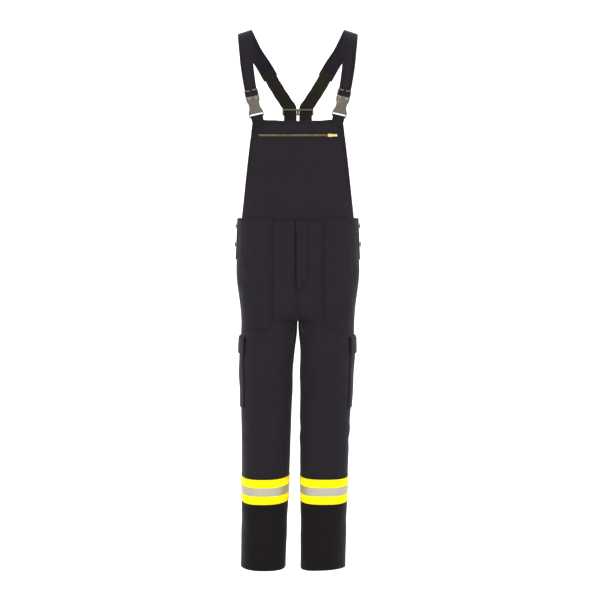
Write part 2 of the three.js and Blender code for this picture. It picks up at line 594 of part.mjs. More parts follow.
function zipSlider() {
  const half = SLIDER_LENGTH / 2;
  const plate = (y) => box([-half, half], [y, y + SLIDER_PLATE], [-SLIDER_HALF, SLIDER_HALF]);
  const split = CHAIN_SPLIT - RUN_GAP;
  const post = box([half - 3, half], [sliderFace + 0.5, chainBack + RUN_GAP + 0.5], [-split, split]);
  const arch = box([-CROWN.length / 2, CROWN.length / 2],
    [sliderFace - CROWN.stand - CROWN.bar, sliderFace + 0.5], [-CROWN.width / 2, CROWN.width / 2]);
  const inside = CROWN.length / 2 - CROWN.bar;
  return join(plate(sliderFace), plate(chainBack + RUN_GAP), post,
    cut(arch, box([-inside, inside], [sliderFace - CROWN.stand, sliderFace], [-5, 5])));
}

function zipPull() {
  const { length, half, thick, eye, rim } = PULL;
  const plate = cut(box([0, length], [pinY - thick / 2, pinY + thick / 2], [-half, half]),
    box([-1, eye], [pinY - 2, pinY + 2], [-half + rim, half - rim]));
  const pin = new THREE.CylinderGeometry(thick / 2, thick / 2, 2 * half, 16)
    .rotateX(Math.PI / 2).translate(0, pinY, 0);
  return join(plate, pin);
}

const onBib = (geometry, x = 0) => geometry.translate(x, BIB_Y, BIB_ZIP);
add('bib_zip_tape', onBib(zipTapes([BIB_ZIP_SPAN[0] - 3, BIB_ZIP_SPAN[1] + 2])), tapeBlack);
add('bib_zip_teeth_upper', onBib(zipChain([BIB_ZIP_SPAN[0], BIB_ZIP_SPAN[1] - 3], 1)), brass);
add('bib_zip_teeth_lower', onBib(zipChain([BIB_ZIP_SPAN[0], BIB_ZIP_SPAN[1] - 3], -1)), brass);
add('bib_zip_slider', onBib(zipSlider(), BIB_ZIP_PARKED), brass);
add('bib_zip_pull', onBib(zipPull(), BIB_ZIP_PARKED), brass);

// The fly zip is the same thing hung upright: its X runs down the front.
const onFly = (geometry, drop = 0) =>
  geometry.rotateY(Math.PI / 2).translate(0, FRONT_Y + 0.3, WAIST - drop);
const flyLength = WAIST - FLY_FOOT - 22;
add('fly_zip_tape', onFly(zipTapes([2, flyLength + 4])), tapeBlack);
add('fly_zip_teeth_left', onFly(zipChain([5, flyLength], 1)), brass);
add('fly_zip_teeth_right', onFly(zipChain([5, flyLength], -1)), brass);
add('fly_zip_slider', onFly(zipSlider(), FLY_ZIP_PARKED), brass);
add('fly_zip_pull', onFly(zipPull(), FLY_ZIP_PARKED), brass);

// ---------------------------------------------------------------- braces
// A strap swept along its run; each point is [x, y, z, roll], and the widths go with the points.
// It lies along X, or along its hint, as nearly as the run allows, and then rolls about the run.
function strap(run, widths, thick, hints = []) {
  const points = run.map(([x, y, z]) => new THREE.Vector3(x, y, z));
  const frames = points.map((p, i) => {
    const along = points[Math.min(i + 1, points.length - 1)].clone()
      .sub(points[Math.max(i - 1, 0)]).normalize();
    const across = (hints[i] ?? new THREE.Vector3(1, 0, 0)).clone();
    across.addScaledVector(along, -across.dot(along)).normalize()
      .applyAxisAngle(along, degToRad(run[i][3]));
    return { p, across, normal: along.clone().cross(across).normalize() };
  });
  const face = (lift) => frames.map(({ p, across, normal }, i) => [-0.5, 0.5].map((t) =>
    p.clone().addScaledVector(across, t * widths[i]).addScaledVector(normal, lift)));
  return gridSolid(face(thick / 2), face(-thick / 2));
}

// Buckle parts are drawn upright: X across, Y = 0 on the bib's outer face, Z up from the foot.
function onBuckle(geometry, side) {
  return geometry.rotateY(side * degToRad(TILT))
    .translate(side * BUCKLE_FOOT[0], BIB_Y, BIB_TOP + BUCKLE_FOOT[1]);
}

// A half turn of strap round a bar, from the front ply to the back ply.
const halfTurn = (y, z, radius, up) => [-1, -0.5, 0, 0.5, 1].map((t) => {
  const a = (t * Math.PI) / 2;
  return [0, y + radius * Math.sin(a), z + up * radius * Math.cos(a), 0];
});

const midY = BUCKLE_BACK - BUCKLE_THICK / 2;
const socketBarY = 0.9;
const plugBase = SOCKET.length + PLUG.gap;
const lowSlot = plugBase + PLUG.base;
const midBar = lowSlot + PLUG.slot;
const plugTop = midBar + 2 * PLUG.bar + PLUG.slot;
const turnRadius = (BAR_THICK + BRACE) / 2 + 0.35;

function tab() {
  const radius = (BAR_THICK + TAB) / 2 + 0.3;
  const turn = halfTurn(socketBarY, SOCKET.bar - 0.4, radius, 1);
  const run = [[0, turn[0][1], -BUCKLE_FOOT[1] - TAB_SEWN, 0], ...turn,
    [0, turn[4][1], -BUCKLE_FOOT[1] - TAB_SEWN + 9, 0]];
  return strap(run, run.map(() => TAB_WIDTH), TAB);
}

function socket() {
  const { length, foot, waist, mouth, bar, slot } = SOCKET;
  const slotHalf = TAB_WIDTH / 2 + 1;
  const [front, back] = [BUCKLE_BACK - BUCKLE_THICK, BUCKLE_BACK];
  const right = [[foot - 2, 0], [foot, 4], [foot, 16], [waist, 29], [waist, 42], [mouth, 50], [mouth, length]];
  const body = slabXZ([...right, ...right.map(([x, z]) => [-x, z]).reverse()], [front, back]);
  const hollow = [front + BUCKLE_WALL, back - BUCKLE_WALL];
  const side = (s) => box(s > 0 ? [waist - 3, 30] : [-30, 3 - waist], hollow, WINDOW);
  return cut(body,
    box([-slotHalf, slotHalf], [front - 1, socketBarY - BAR_THICK / 2], [-1, bar + slot]),
    box([-slotHalf, slotHalf], [socketBarY + BAR_THICK / 2, back + 1], [-1, bar + slot]),
    box([-slotHalf, slotHalf], [front - 1, back + 1], [bar, bar + slot]),
    box([-waist + BUCKLE_WALL, waist - BUCKLE_WALL], hollow, [bar + slot + 3, length + 1]),
    side(1), side(-1));
}

const knuckleZ = plugBase + ARM.knuckle + 0.9;
const armFace = [midY - 1.6, midY + 1.6];

function knuckle(x, radius, [y0, y1]) {
  return new THREE.CylinderGeometry(radius, radius, y1 - y0, 24).translate(x, (y0 + y1) / 2, knuckleZ);
}

function plug() {
  const { half, base, rail, bar, slot, split } = PLUG;
  const rails = [midY - 1.5, midY + 1.9];
  const bars = [midY - BAR_THICK / 2, midY + BAR_THICK / 2];
  const block = box([-half, half], [midY - 2, midY + 2], [plugBase, lowSlot]);
  const upright = (s) => box([s * half, s * (half - rail)].sort((a, b) => a - b), rails, [lowSlot - 1, plugTop]);
  const rung = (z, x0, x1) => box([x0, x1], bars, [z, z + bar]);
  const recess = (s) => join(knuckle(s * ARM.set, ARM.knuckle + RUN_GAP, [-9, 9]),
    slabXZ([[-3.2, plugBase - 1], [3.2, plugBase - 1], [1.9, knuckleZ], [-1.9, knuckleZ]]
      .map(([x, z]) => [x + s * ARM.set, z]), [-9, 9]));
  return cut(join(block, upright(1), upright(-1), rung(midBar, -half + 0.5, half - 0.5),
    rung(midBar + bar + slot, -half + 0.5, -split), rung(midBar + bar + slot, split, half - 0.5)),
    recess(1), recess(-1));
}

// The latch arm on the +X side of an upright buckle, or its mirror image.
function latchArm(s) {
  const { reach, set, width, head, knuckle: radius } = ARM;
  const [near, far] = [set - width / 2, set + width / 2];
  const outline = [[near, SOCKET.length - reach], [far, SOCKET.length - reach + 2], [far, WINDOW[0] - 1],
    [far + head, WINDOW[0] + 9], [far + head, WINDOW[1] - 2], [far, WINDOW[1] - 1], [far, knuckleZ], [near, knuckleZ]];
  return join(slabXZ(outline.map(([x, z]) => [s * x, z]), armFace), knuckle(s * set, radius, armFace));
}

const mirrorRun = (run, side) => run.map(([x, y, z, roll]) => [side * x, y, z, side * roll]);

function brace(side) {
  const turn = halfTurn(midY, midBar + 0.4, turnRadius, -1);
  const local = [[0, turn[4][1], plugTop + 8, 0], ...turn.reverse(), [0, turn[4][1], plugTop + 2, 0]];
  const tilt = new THREE.Matrix4().makeTranslation(side * BUCKLE_FOOT[0], BIB_Y, BIB_TOP + BUCKLE_FOOT[1])
    .multiply(new THREE.Matrix4().makeRotationY(side * degToRad(TILT)));
  const start = local.map(([x, y, z]) => [...new THREE.Vector3(x, y, z).applyMatrix4(tilt).toArray(), 0]);
  const run = [...start, ...mirrorRun(BRACE_RUN, side)];
  const [low, crest, high] = BRACE_WIDTH;
  const peak = start.length + 5;
  const widths = run.map((_, i) => {
    if (i < start.length) return low;
    return i < peak ? lerp(low, crest, (i - start.length + 1) / 6) : lerp(crest, high, (i - peak) / 5);
  });
  const tilted = new THREE.Vector3(1, 0, 0).transformDirection(tilt);
  return strap(run, widths, BRACE, start.map(() => tilted));
}

function elastic(side) {
  const [above, end] = BRACE_RUN.slice(-2).map(([x, y, z]) => new THREE.Vector3(x, y, z));
  const lap = above.clone().sub(end).setLength(BRACE_LAP);
  const under = (p) => [p.x, p.y - (BRACE + ELASTIC) / 2 - LAP_GAP, p.z, 0];
  const upright = [BRIDGE_HEIGHT + BRIDGE.height / 2 + 1, BACK_TOP - ELASTIC_SEWN]
    .map((z) => [ELASTIC_APART, ELASTIC_Y, z, 0]);
  const past = lap.clone().setLength(8);
  const run = [under(end.clone().add(lap)), under(end), under(end.clone().sub(past)), ...ELASTIC_RUN, ...upright];
  return strap(mirrorRun(run, side), run.map(() => ELASTIC_WIDTH), ELASTIC);
}

bothSides((side, name) => {
  add(`strap_tab_${name}`, onBuckle(tab(), side), navy);
  add(`buckle_socket_${name}`, onBuckle(socket(), side), greyPlastic);
  add(`buckle_plug_${name}`, onBuckle(plug(), side), greyPlastic);
  add(`latch_arm_outer_${name}`, onBuckle(latchArm(side), side), greyPlastic);
  add(`latch_arm_inner_${name}`, onBuckle(latchArm(-side), side), greyPlastic);
  add(`brace_strap_${name}`, brace(side), navy);
  add(`elastic_strap_${name}`, elastic(side), elasticBlack);
});

// The cross piece: its upper bar lies ahead of the two elastics and its lower bar behind them.
function crossPiece() {
  const { half, rail, web, height, thick } = BRIDGE;
  const clear = ELASTIC / 2 + RUN_GAP;
  const [front, back] = [ELASTIC_Y - clear - thick, ELASTIC_Y + clear + thick];
  const [low, high] = [BRIDGE_HEIGHT - height / 2, BRIDGE_HEIGHT + height / 2];
  return join(
    box([-half, half], [front, front + thick], [high - rail, high]),
    box([-half, half], [back - thick, back], [low, low + rail]),
    box([-half, -half + rail], [front, back], [low, high]),
    box([half - rail, half], [front, back], [low, high]),
    box([-web, web], [front, back], [low, high]));
}
add('back_cross_piece', crossPiece(), darkPlastic);

// ---------------------------------------------------------------- hung from the shoulders
garment.children.forEach((mesh) => mesh.geometry.translate(0, 0, -HANG));

export default garment;
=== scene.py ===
"""Looks of the firefighter's bib-and-brace trousers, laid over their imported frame.

Everything is worked out in millimetres, with heights measured up from the hem, and turned into
metres in the row frame where a mesh is made. +X is the wearer's left and the front faces -Y.
"""
import json
import logging
import math
from dataclasses import dataclass, field
from enum import Enum
from typing import Callable, Optional, Sequence

import bmesh
import bpy
import numpy as np
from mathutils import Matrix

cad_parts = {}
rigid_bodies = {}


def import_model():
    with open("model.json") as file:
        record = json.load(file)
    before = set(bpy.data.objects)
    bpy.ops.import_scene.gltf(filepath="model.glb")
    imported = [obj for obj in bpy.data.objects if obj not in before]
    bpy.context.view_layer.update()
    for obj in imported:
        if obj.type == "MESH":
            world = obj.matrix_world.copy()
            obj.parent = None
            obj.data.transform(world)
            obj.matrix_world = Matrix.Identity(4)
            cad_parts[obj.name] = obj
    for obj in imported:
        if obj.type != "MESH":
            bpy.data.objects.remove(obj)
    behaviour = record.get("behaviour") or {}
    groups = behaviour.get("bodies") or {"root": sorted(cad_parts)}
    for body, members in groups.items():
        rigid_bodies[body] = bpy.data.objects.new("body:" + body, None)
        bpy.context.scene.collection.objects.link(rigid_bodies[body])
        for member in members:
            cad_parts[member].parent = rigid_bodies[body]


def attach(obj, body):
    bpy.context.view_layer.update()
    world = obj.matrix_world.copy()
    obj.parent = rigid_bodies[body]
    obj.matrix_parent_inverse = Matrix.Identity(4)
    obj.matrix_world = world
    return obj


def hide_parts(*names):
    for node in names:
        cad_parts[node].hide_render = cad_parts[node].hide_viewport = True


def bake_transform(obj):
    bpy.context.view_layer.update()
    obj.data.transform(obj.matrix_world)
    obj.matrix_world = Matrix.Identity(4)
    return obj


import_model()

log = logging.getLogger("trousers")
Array = np.ndarray
Value = float | tuple      # a plain number or colour, or the (node, output) that gives it
MM = 0.001
LEFT, RIGHT = 1, -1

# Driving heights above the hem, and the places of flat sheets
HANG = 1640.0          # the line on which the braces rest
BIB_HEAD = 1372.0      # top of the bib
ZIP_LEVEL = 1324.0     # middle of the bib's zip
WAIST = 1077.0         # upper edge of the waistband, where the bib and the back panel start
BAND_FOOT = 1031.0     # lower edge of the waistband
INSEAM = 761.0         # the crotch
BIB_FACE = -126.0      # how far back the bib's face lies from the middle
FLY_FACE = -120.7      # the same for the cloth at the fly


def smooth(t: Array) -> Array:
    """The ease 3t^2 - 2t^3, held at 0 and 1 outside the unit range."""
    t = np.clip(t, 0.0, 1.0)
    return t * t * (3 - 2 * t)


def bump(x: Array, middle: float, width: float) -> Array:
    """The bell exp(-((x - middle) / width)^2)."""
    return np.exp(-(((x - middle) / width) ** 2))


def side_name(side: int) -> str:
    """'left' for the wearer's left, 'right' for the other side."""
    return "left" if side == LEFT else "right"


def to_row(points: Array) -> Array:
    """Millimetres above the hem to metres in the row frame."""
    return (np.asarray(points, float) - [0.0, 0.0, HANG]) * MM


# ------------------------------------------------------------------ materials
def linear(colour: str) -> tuple[float, float, float, float]:
    """An sRGB hex colour as the linear RGBA that shaders take.

    Args:
        colour: six hex digits, with or without a leading '#'.

    Returns:
        Linear red, green and blue, and alpha 1.
    """
    parts = [int(colour.lstrip("#")[i:i + 2], 16) / 255 for i in (0, 2, 4)]
    return (*[c / 12.92 if c <= 0.04045 else ((c + 0.055) / 1.055) ** 2.4 for c in parts], 1.0)


def feed(tree: bpy.types.NodeTree, made: bpy.types.Node, links: dict) -> None:
    """Sets a node's inputs.

    Args:
        tree: the material's node tree.
        made: the node.
        links: input name or number to a plain value, or to (node, output name or number).
    """
    for key, value in links.items():
        if isinstance(value, tuple) and isinstance(value[0], bpy.types.Node):
            tree.links.new(value[0].outputs[value[1]], made.inputs[key])
        else:
            made.inputs[key].default_value = value


def node(tree: bpy.types.NodeTree, kind: str, links: Optional[dict] = None, **settings) -> bpy.types.Node:
    """Adds one shader node.

    Args:
        tree: the material's node tree.
        kind: the node's type, without the leading 'ShaderNode'.
        links: its inputs, as for feed.
        settings: properties of the node itself.

    Returns:
        The new node.
    """
    made = tree.nodes.new("ShaderNode" + kind)
    for key, value in settings.items():
        setattr(made, key, value)
    feed(tree, made, links or {})
    return made


def sums(tree: bpy.types.NodeTree, operation: str, a: Value, b: Value = 0.0, c: Optional[Value] = None,
         clamp: bool = False) -> tuple:
    """One Math node on two or three values; returns its (node, 0) output."""
    links = {0: a, 1: b} if c is None else {0: a, 1: b, 2: c}
    return node(tree, "Math", links, operation=operation, use_clamp=clamp), 0


def ramp(tree: bpy.types.NodeTree, fac: tuple, stops: Sequence[tuple[float, str]]) -> tuple:
    """A colour ramp.

    Args:
        tree: the material's node tree.
        fac: the (node, output) that drives it.
        stops: places from 0 to 1, each with its hex colour.

    Returns:
        Its (node, output).
    """
    made = node(tree, "ValToRGB", {0: fac})
    elements = made.color_ramp.elements
    while len(elements) < len(stops):
        elements.new(0.5)
    for element, (place, colour) in zip(elements, stops):
        element.position, element.color = place, linear(colour)
    return made, 0


def mixed(tree: bpy.types.NodeTree, fac: Value, a: Value, b: Value) -> tuple:
    """Colour a to colour b by fac; returns the (node, output) of the result."""
    return node(tree, "Mix", {0: fac, 6: a, 7: b}, data_type="RGBA"), 2


def raised(tree: bpy.types.NodeTree, height: tuple, strength: float, distance: float) -> tuple:
    """A Bump node over a height; returns the (node, output) of its normal."""
    return node(tree, "Bump", {"Strength": strength, "Distance": distance, "Height": height}), 0


def start_material(name: str) -> tuple[bpy.types.Material, bpy.types.NodeTree, bpy.types.Node]:
    """Starts a material with a bare Principled shader.

    Args:
        name: the material's name.

    Returns:
        The material, its node tree and the shader.
    """
    made = bpy.data.materials.new(name)
    made.use_nodes = True
    tree = made.node_tree
    tree.nodes.clear()
    shader = node(tree, "BsdfPrincipled")
    node(tree, "OutputMaterial", {0: (shader, 0)})
    return made, tree, shader


class Weave(Enum):
    """How a cloth's threads lie."""

    TWILL = "twill"        # fine diagonal ribs
    PLAIN = "plain"        # a fine square grid
    RIBBED = "ribbed"      # cords across the strap, as in braided elastic


@dataclass(frozen=True)
class ClothFinish:
    """A woven cloth: matt, with the rib of its weave, a little fuzz and rows of stitching.

    Real threads are 0.4 mm apart, too fine to show, so the weave is drawn at `rib` millimetres.
    """

    name: str
    colour: str
    worn: str              # the paler tone on the high threads
    thread: str
    rib: float = 2.1
    weave: Weave = Weave.TWILL
    relief: float = 0.35
    roughness: float = 0.86
    sheen: float = 0.06
    glow: float = 0.0
    cast: str = "#12161b"              # tone of the patches where the dye has taken differently
    low_colour: Optional[str] = None    # tone that the cloth takes towards the hem

    def build(self) -> bpy.types.Material:
        """Makes the material.

        The height is the weave's ribs, the tone adds fibre and patches to it, and both take on the rows of
        stitching. The colour also gets a painted shade in the grooves beside the stitches.

        Returns:
            The material.
        """
        made, tree, shader = start_material(self.name)
        uv = node(tree, "UVMap", uv_map="cloth")
        place = node(tree, "TexCoord")
        turn = {Weave.TWILL: 0.9, Weave.PLAIN: 0.0, Weave.RIBBED: math.pi / 2}[self.weave]
        turned = node(tree, "Mapping", {0: (uv, 0), 2: (0.0, 0.0, turn)})
        scale = 1000 * math.pi / (10 * self.rib)
        ribs = node(tree, "TexWave", {"Vector": (turned, 0), "Scale": scale, "Distortion": 0.6,
                                      "Detail": 1.0, "Detail Scale": 2.0}, bands_direction="X")
        height = (ribs, "Fac")
        if self.weave is Weave.PLAIN:
            other = node(tree, "TexWave", {"Vector": (turned, 0), "Scale": scale, "Distortion": 0.4},
                         bands_direction="Y")
            height = sums(tree, "MULTIPLY", height, (other, "Fac"))
        fibre = node(tree, "TexNoise", {"Vector": (uv, 0), "Scale": 900.0, "Detail": 3.0})
        patchy = node(tree, "TexNoise", {"Vector": (place, "Object"), "Scale": 9.0, "Detail": 4.0,
                                         "Roughness": 0.6})
        tone = sums(tree, "MULTIPLY_ADD", height, 0.35, sums(tree, "MULTIPLY", (fibre, "Fac"), 0.5))
        tone = sums(tree, "SUBTRACT", tone, 0.35)
        tone = sums(tree, "MULTIPLY_ADD", (patchy, "Fac"), 0.5, tone, clamp=True)
        colour = ramp(tree, tone, [(0.0, self.colour), (1.0, self.worn)])
        cast = node(tree, "TexNoise", {"Vector": (place, "Object"), "Scale": 4.0, "Detail": 2.0})
        cast = node(tree, "MapRange", {0: (cast, "Fac"), 1: 0.4, 2: 0.7, 3: 0.0, 4: 0.22})
        colour = mixed(tree, (cast, 0), colour, linear(self.cast))
        if self.low_colour:
            split = node(tree, "SeparateXYZ", {0: (place, "Object")})
            low = node(tree, "MapRange", {0: (split, 2), 1: -1.33, 2: -1.44, 3: 0.0, 4: 1.0})
            colour = mixed(tree, sums(tree, "MULTIPLY", (low, 0), 0.9), colour, linear(self.low_colour))
        edges = [self.stitching(tree, uv, axis) for axis in ("u", "v")]
        stitch = sums(tree, "MAXIMUM", edges[0][0], edges[1][0])
        groove_and_shade = sums(tree, "MAXIMUM", edges[0][1], edges[1][1])
        colour = mixed(tree, stitch, colour, linear(self.thread))
        # painted shade: the colour darkens towards black in the grooves that the stitches pull
        colour = mixed(tree, sums(tree, "MULTIPLY", groove_and_shade, 0.35), colour, (0.0, 0.0, 0.0, 1.0))
        relief = sums(tree, "MULTIPLY_ADD", height, self.relief, sums(tree, "MULTIPLY", (fibre, "Fac"), 0.25))
        relief = sums(tree, "MULTIPLY_ADD", stitch, 0.8, relief)
        relief = sums(tree, "MULTIPLY_ADD", groove_and_shade, -1.4, relief)
        rough = node(tree, "MapRange", {0: (patchy, "Fac"), 3: self.roughness - 0.05,
                                        4: self.roughness + 0.05})
        feed(tree, shader, {"Base Color": colour, "Normal": raised(tree, relief, 0.5, 0.0006),
                            "Roughness": (rough, 0), "Sheen Weight": self.sheen, "Sheen Roughness": 0.45,
                            "Specular IOR Level": 0.13})
        if self.glow:
            feed(tree, shader, {"Emission Color": colour, "Emission Strength": self.glow})
        return made

    def stitching(self, tree: bpy.types.NodeTree, uv: bpy.types.Node, axis: str) -> tuple:
        """Two rows of stitches beside an edge, 2 mm and 8 mm in.

        Args:
            tree: the material's node tree.
            uv: the piece's UV map, in metres.
            axis: 'u' for edges that run up the cloth, 'v' for those that run across it.

        Returns:
            The mask of the threads, and the mask of the groove that they pull, which gives both a dent and a
            painted shade.
        """
        distance = (node(tree, "Attribute", attribute_name=f"edge_{axis}"), "Fac")
        split = node(tree, "SeparateXYZ", {0: (uv, 0)})
        along = (split, 1 if axis == "u" else 0)
        near = sums(tree, "ABSOLUTE", sums(tree, "SUBTRACT", distance, 2.0))
        far = sums(tree, "ABSOLUTE", sums(tree, "SUBTRACT", distance, 8.0))
        gap = sums(tree, "MINIMUM", near, far)
        line = node(tree, "MapRange", {0: gap, 1: 0.25, 2: 0.6, 3: 1.0, 4: 0.0})
        groove_and_shade = node(tree, "MapRange", {0: gap, 1: 0.3, 2: 1.5, 3: 1.0, 4: 0.0})
        dash = sums(tree, "SINE", sums(tree, "MULTIPLY", along, 2 * math.pi * 1000 / 3.4))
        dash = sums(tree, "GREATER_THAN", dash, -0.55)
        return sums(tree, "MULTIPLY", (line, 0), dash), (groove_and_shade, 0)


@dataclass(frozen=True)
class BeadedFinish:
    """Retro-reflective tape: a grey film of glass beads, pressed with a fine lattice."""

    name: str
    colour: str
    dark: str
    lattice: float = 2.4   # its spacing in millimetres, coarser than the real 1 mm

    def build(self) -> bpy.types.Material:
        """Makes the material: two crossed waves for the lattice, and a cell for each bead.

        Returns:
            The material.
        """
        made, tree, shader = start_material(self.name)
        uv = node(tree, "UVMap", uv_map="cloth")
        turned = node(tree, "Mapping", {0: (uv, 0), 2: (0.0, 0.0, math.pi / 4)})
        scale = 1000 * math.pi / (10 * self.lattice)
        a = node(tree, "TexWave", {"Vector": (turned, 0), "Scale": scale}, bands_direction="X")
        b = node(tree, "TexWave", {"Vector": (turned, 0), "Scale": scale}, bands_direction="Y")
        lattice = sums(tree, "MAXIMUM", (a, "Fac"), (b, "Fac"))
        beads = node(tree, "TexVoronoi", {"Vector": (uv, 0), "Scale": 1400.0})
        tone = sums(tree, "MULTIPLY_ADD", (beads, "Distance"), 0.5, sums(tree, "MULTIPLY", lattice, 0.35),
                    clamp=True)
        colour = ramp(tree, tone, [(0.0, self.colour), (1.0, self.dark)])
        feed(tree, shader, {"Base Color": colour, "Normal": raised(tree, lattice, 0.35, 0.0003),
                            "Metallic": 0.25, "Roughness": 0.42, "Coat Weight": 0.15})
        return made


@dataclass(frozen=True)
class MouldedPlastic:
    """Injection-moulded acetal: an even colour with a faint grain and duller, paler edges."""

    name: str
    colour: str
    pale: str
    roughness: float

    def build(self) -> bpy.types.Material:
        """Makes the material: a spark-eroded grain of about 0.8 mm, and flow marks of 17 mm.

        Returns:
            The material.
        """
        made, tree, shader = start_material(self.name)
        place = node(tree, "TexCoord")
        grain = node(tree, "TexNoise", {"Vector": (place, "Object"), "Scale": 1200.0, "Detail": 2.0})
        flow = node(tree, "TexNoise", {"Vector": (place, "Object"), "Scale": 60.0, "Detail": 2.0})
        shape = node(tree, "NewGeometry")
        worn = node(tree, "MapRange", {0: (shape, "Pointiness"), 1: 0.51, 2: 0.62, 3: 0.0, 4: 0.5})
        tone = sums(tree, "MULTIPLY_ADD", (flow, "Fac"), 0.3, (worn, 0), clamp=True)
        colour = ramp(tree, tone, [(0.0, self.colour), (1.0, self.pale)])
        feed(tree, shader, {"Base Color": colour, "Normal": raised(tree, (grain, "Fac"), 0.12, 0.0003),
                            "Roughness": self.roughness})
        return made


@dataclass(frozen=True)
class StampedBrass:
    """Brass of zip teeth and sliders: stamped, tumbled bright, and darker where hands don't reach."""

    name: str
    colour: str
    tarnish: str

    def build(self) -> bpy.types.Material:
        """Makes the material: clouds of tarnish that are rougher too, and fine scratches.

        Returns:
            The material.
        """
        made, tree, shader = start_material(self.name)
        place = node(tree, "TexCoord")
        cloud = node(tree, "TexNoise", {"Vector": (place, "Object"), "Scale": 160.0, "Detail": 3.0})
        colour = ramp(tree, (cloud, "Fac"), [(0.35, self.colour), (0.75, self.tarnish)])
        rough = node(tree, "MapRange", {0: (cloud, "Fac"), 3: 0.24, 4: 0.5})
        scratch = node(tree, "TexNoise", {"Vector": (place, "Object"), "Scale": 2500.0})
        feed(tree, shader, {"Base Color": colour, "Normal": raised(tree, (scratch, "Fac"), 0.1, 0.0002),
                            "Roughness": (rough, 0), "Metallic": 1.0})
        return made


@dataclass(frozen=True)
class HookAndLoop:
    """Nylon hook-and-loop tape: a dense black pile of loops or bristles."""

    name: str
    colour: str
    tip: str

    def build(self) -> bpy.types.Material:
        """Makes the material: a cell of about 1.4 mm for each tuft of the pile.

        Returns:
            The material.
        """
        made, tree, shader = start_material(self.name)
        uv = node(tree, "UVMap", uv_map="cloth")
        pile = node(tree, "TexVoronoi", {"Vector": (uv, 0), "Scale": 700.0})
        colour = ramp(tree, (pile, "Distance"), [(0.1, self.tip), (0.8, self.colour)])
        feed(tree, shader, {"Base Color": colour, "Normal": raised(tree, (pile, "Distance"), 0.8, 0.001),
                            "Roughness": 0.8, "Sheen Weight": 0.04, "Specular IOR Level": 0.15})
        return made


class Finishes:
    """Every finish of the garment, built once."""

    def __init__(self) -> None:
        """Builds the materials."""
        navy = dict(colour="#151117", worn="#251f27", thread="#100d11")
        self.navy = ClothFinish("Navy_twill_woven_dyed", low_colour="#0d0809", **navy).build()
        self.thread = ClothFinish("Thread_aramid_spun", "#0f0c10", "#1f1a20", "#0f0c10", rib=0.9,
                                  weave=Weave.RIBBED, sheen=0.03).build()
        self.lining = ClothFinish("Pocketing_cotton_plain_woven", "#141217", "#201d24", "#100e12",
                                  weave=Weave.PLAIN, rib=1.4).build()
        self.elastic = ClothFinish("Elastic_webbing_braided", "#14120c", "#2c281d", "#0f0d09", rib=2.2,
                                   weave=Weave.RIBBED, relief=1.0, sheen=0.05, cast="#1c1a12").build()
        self.yellow = ClothFinish("Fluorescent_polyester_plain_woven", "#f2dc00", "#fff200", "#c9b900",
                                  rib=1.5, weave=Weave.PLAIN, relief=0.3, sheen=0.05, glow=0.22,
                                  cast="#e6d800").build()
        self.silver = BeadedFinish("Reflective_film_glass_beaded", "#b4af93", "#87857a").build()
        self.tape = ClothFinish("Zip_tape_polyester_woven", "#111013", "#1f1d21", "#0d0c0e", rib=1.2,
                                weave=Weave.RIBBED, sheen=0.1).build()
        self.brass = StampedBrass("Brass_stamped_tumbled", "#f0dc96", "#b39a55").build()
        self.grey = MouldedPlastic("Acetal_grey_moulded", "#423c32", "#6f6857", 0.48).build()
        self.olive = MouldedPlastic("Acetal_olive_moulded", "#413e31", "#7a7560", 0.48).build()
        self.button = MouldedPlastic("Button_polyester_turned", "#1b191d", "#3b383f", 0.35).build()
        self.hook = HookAndLoop("Hook_and_loop_nylon_woven", "#100f12", "#2b292e").build()


# ------------------------------------------------------------------ closed cloth meshes
FAR = 99.0             # the distance given to an edge that has no stitching
CORNER = 35.0          # degrees past which an edge of a hard piece is a corner


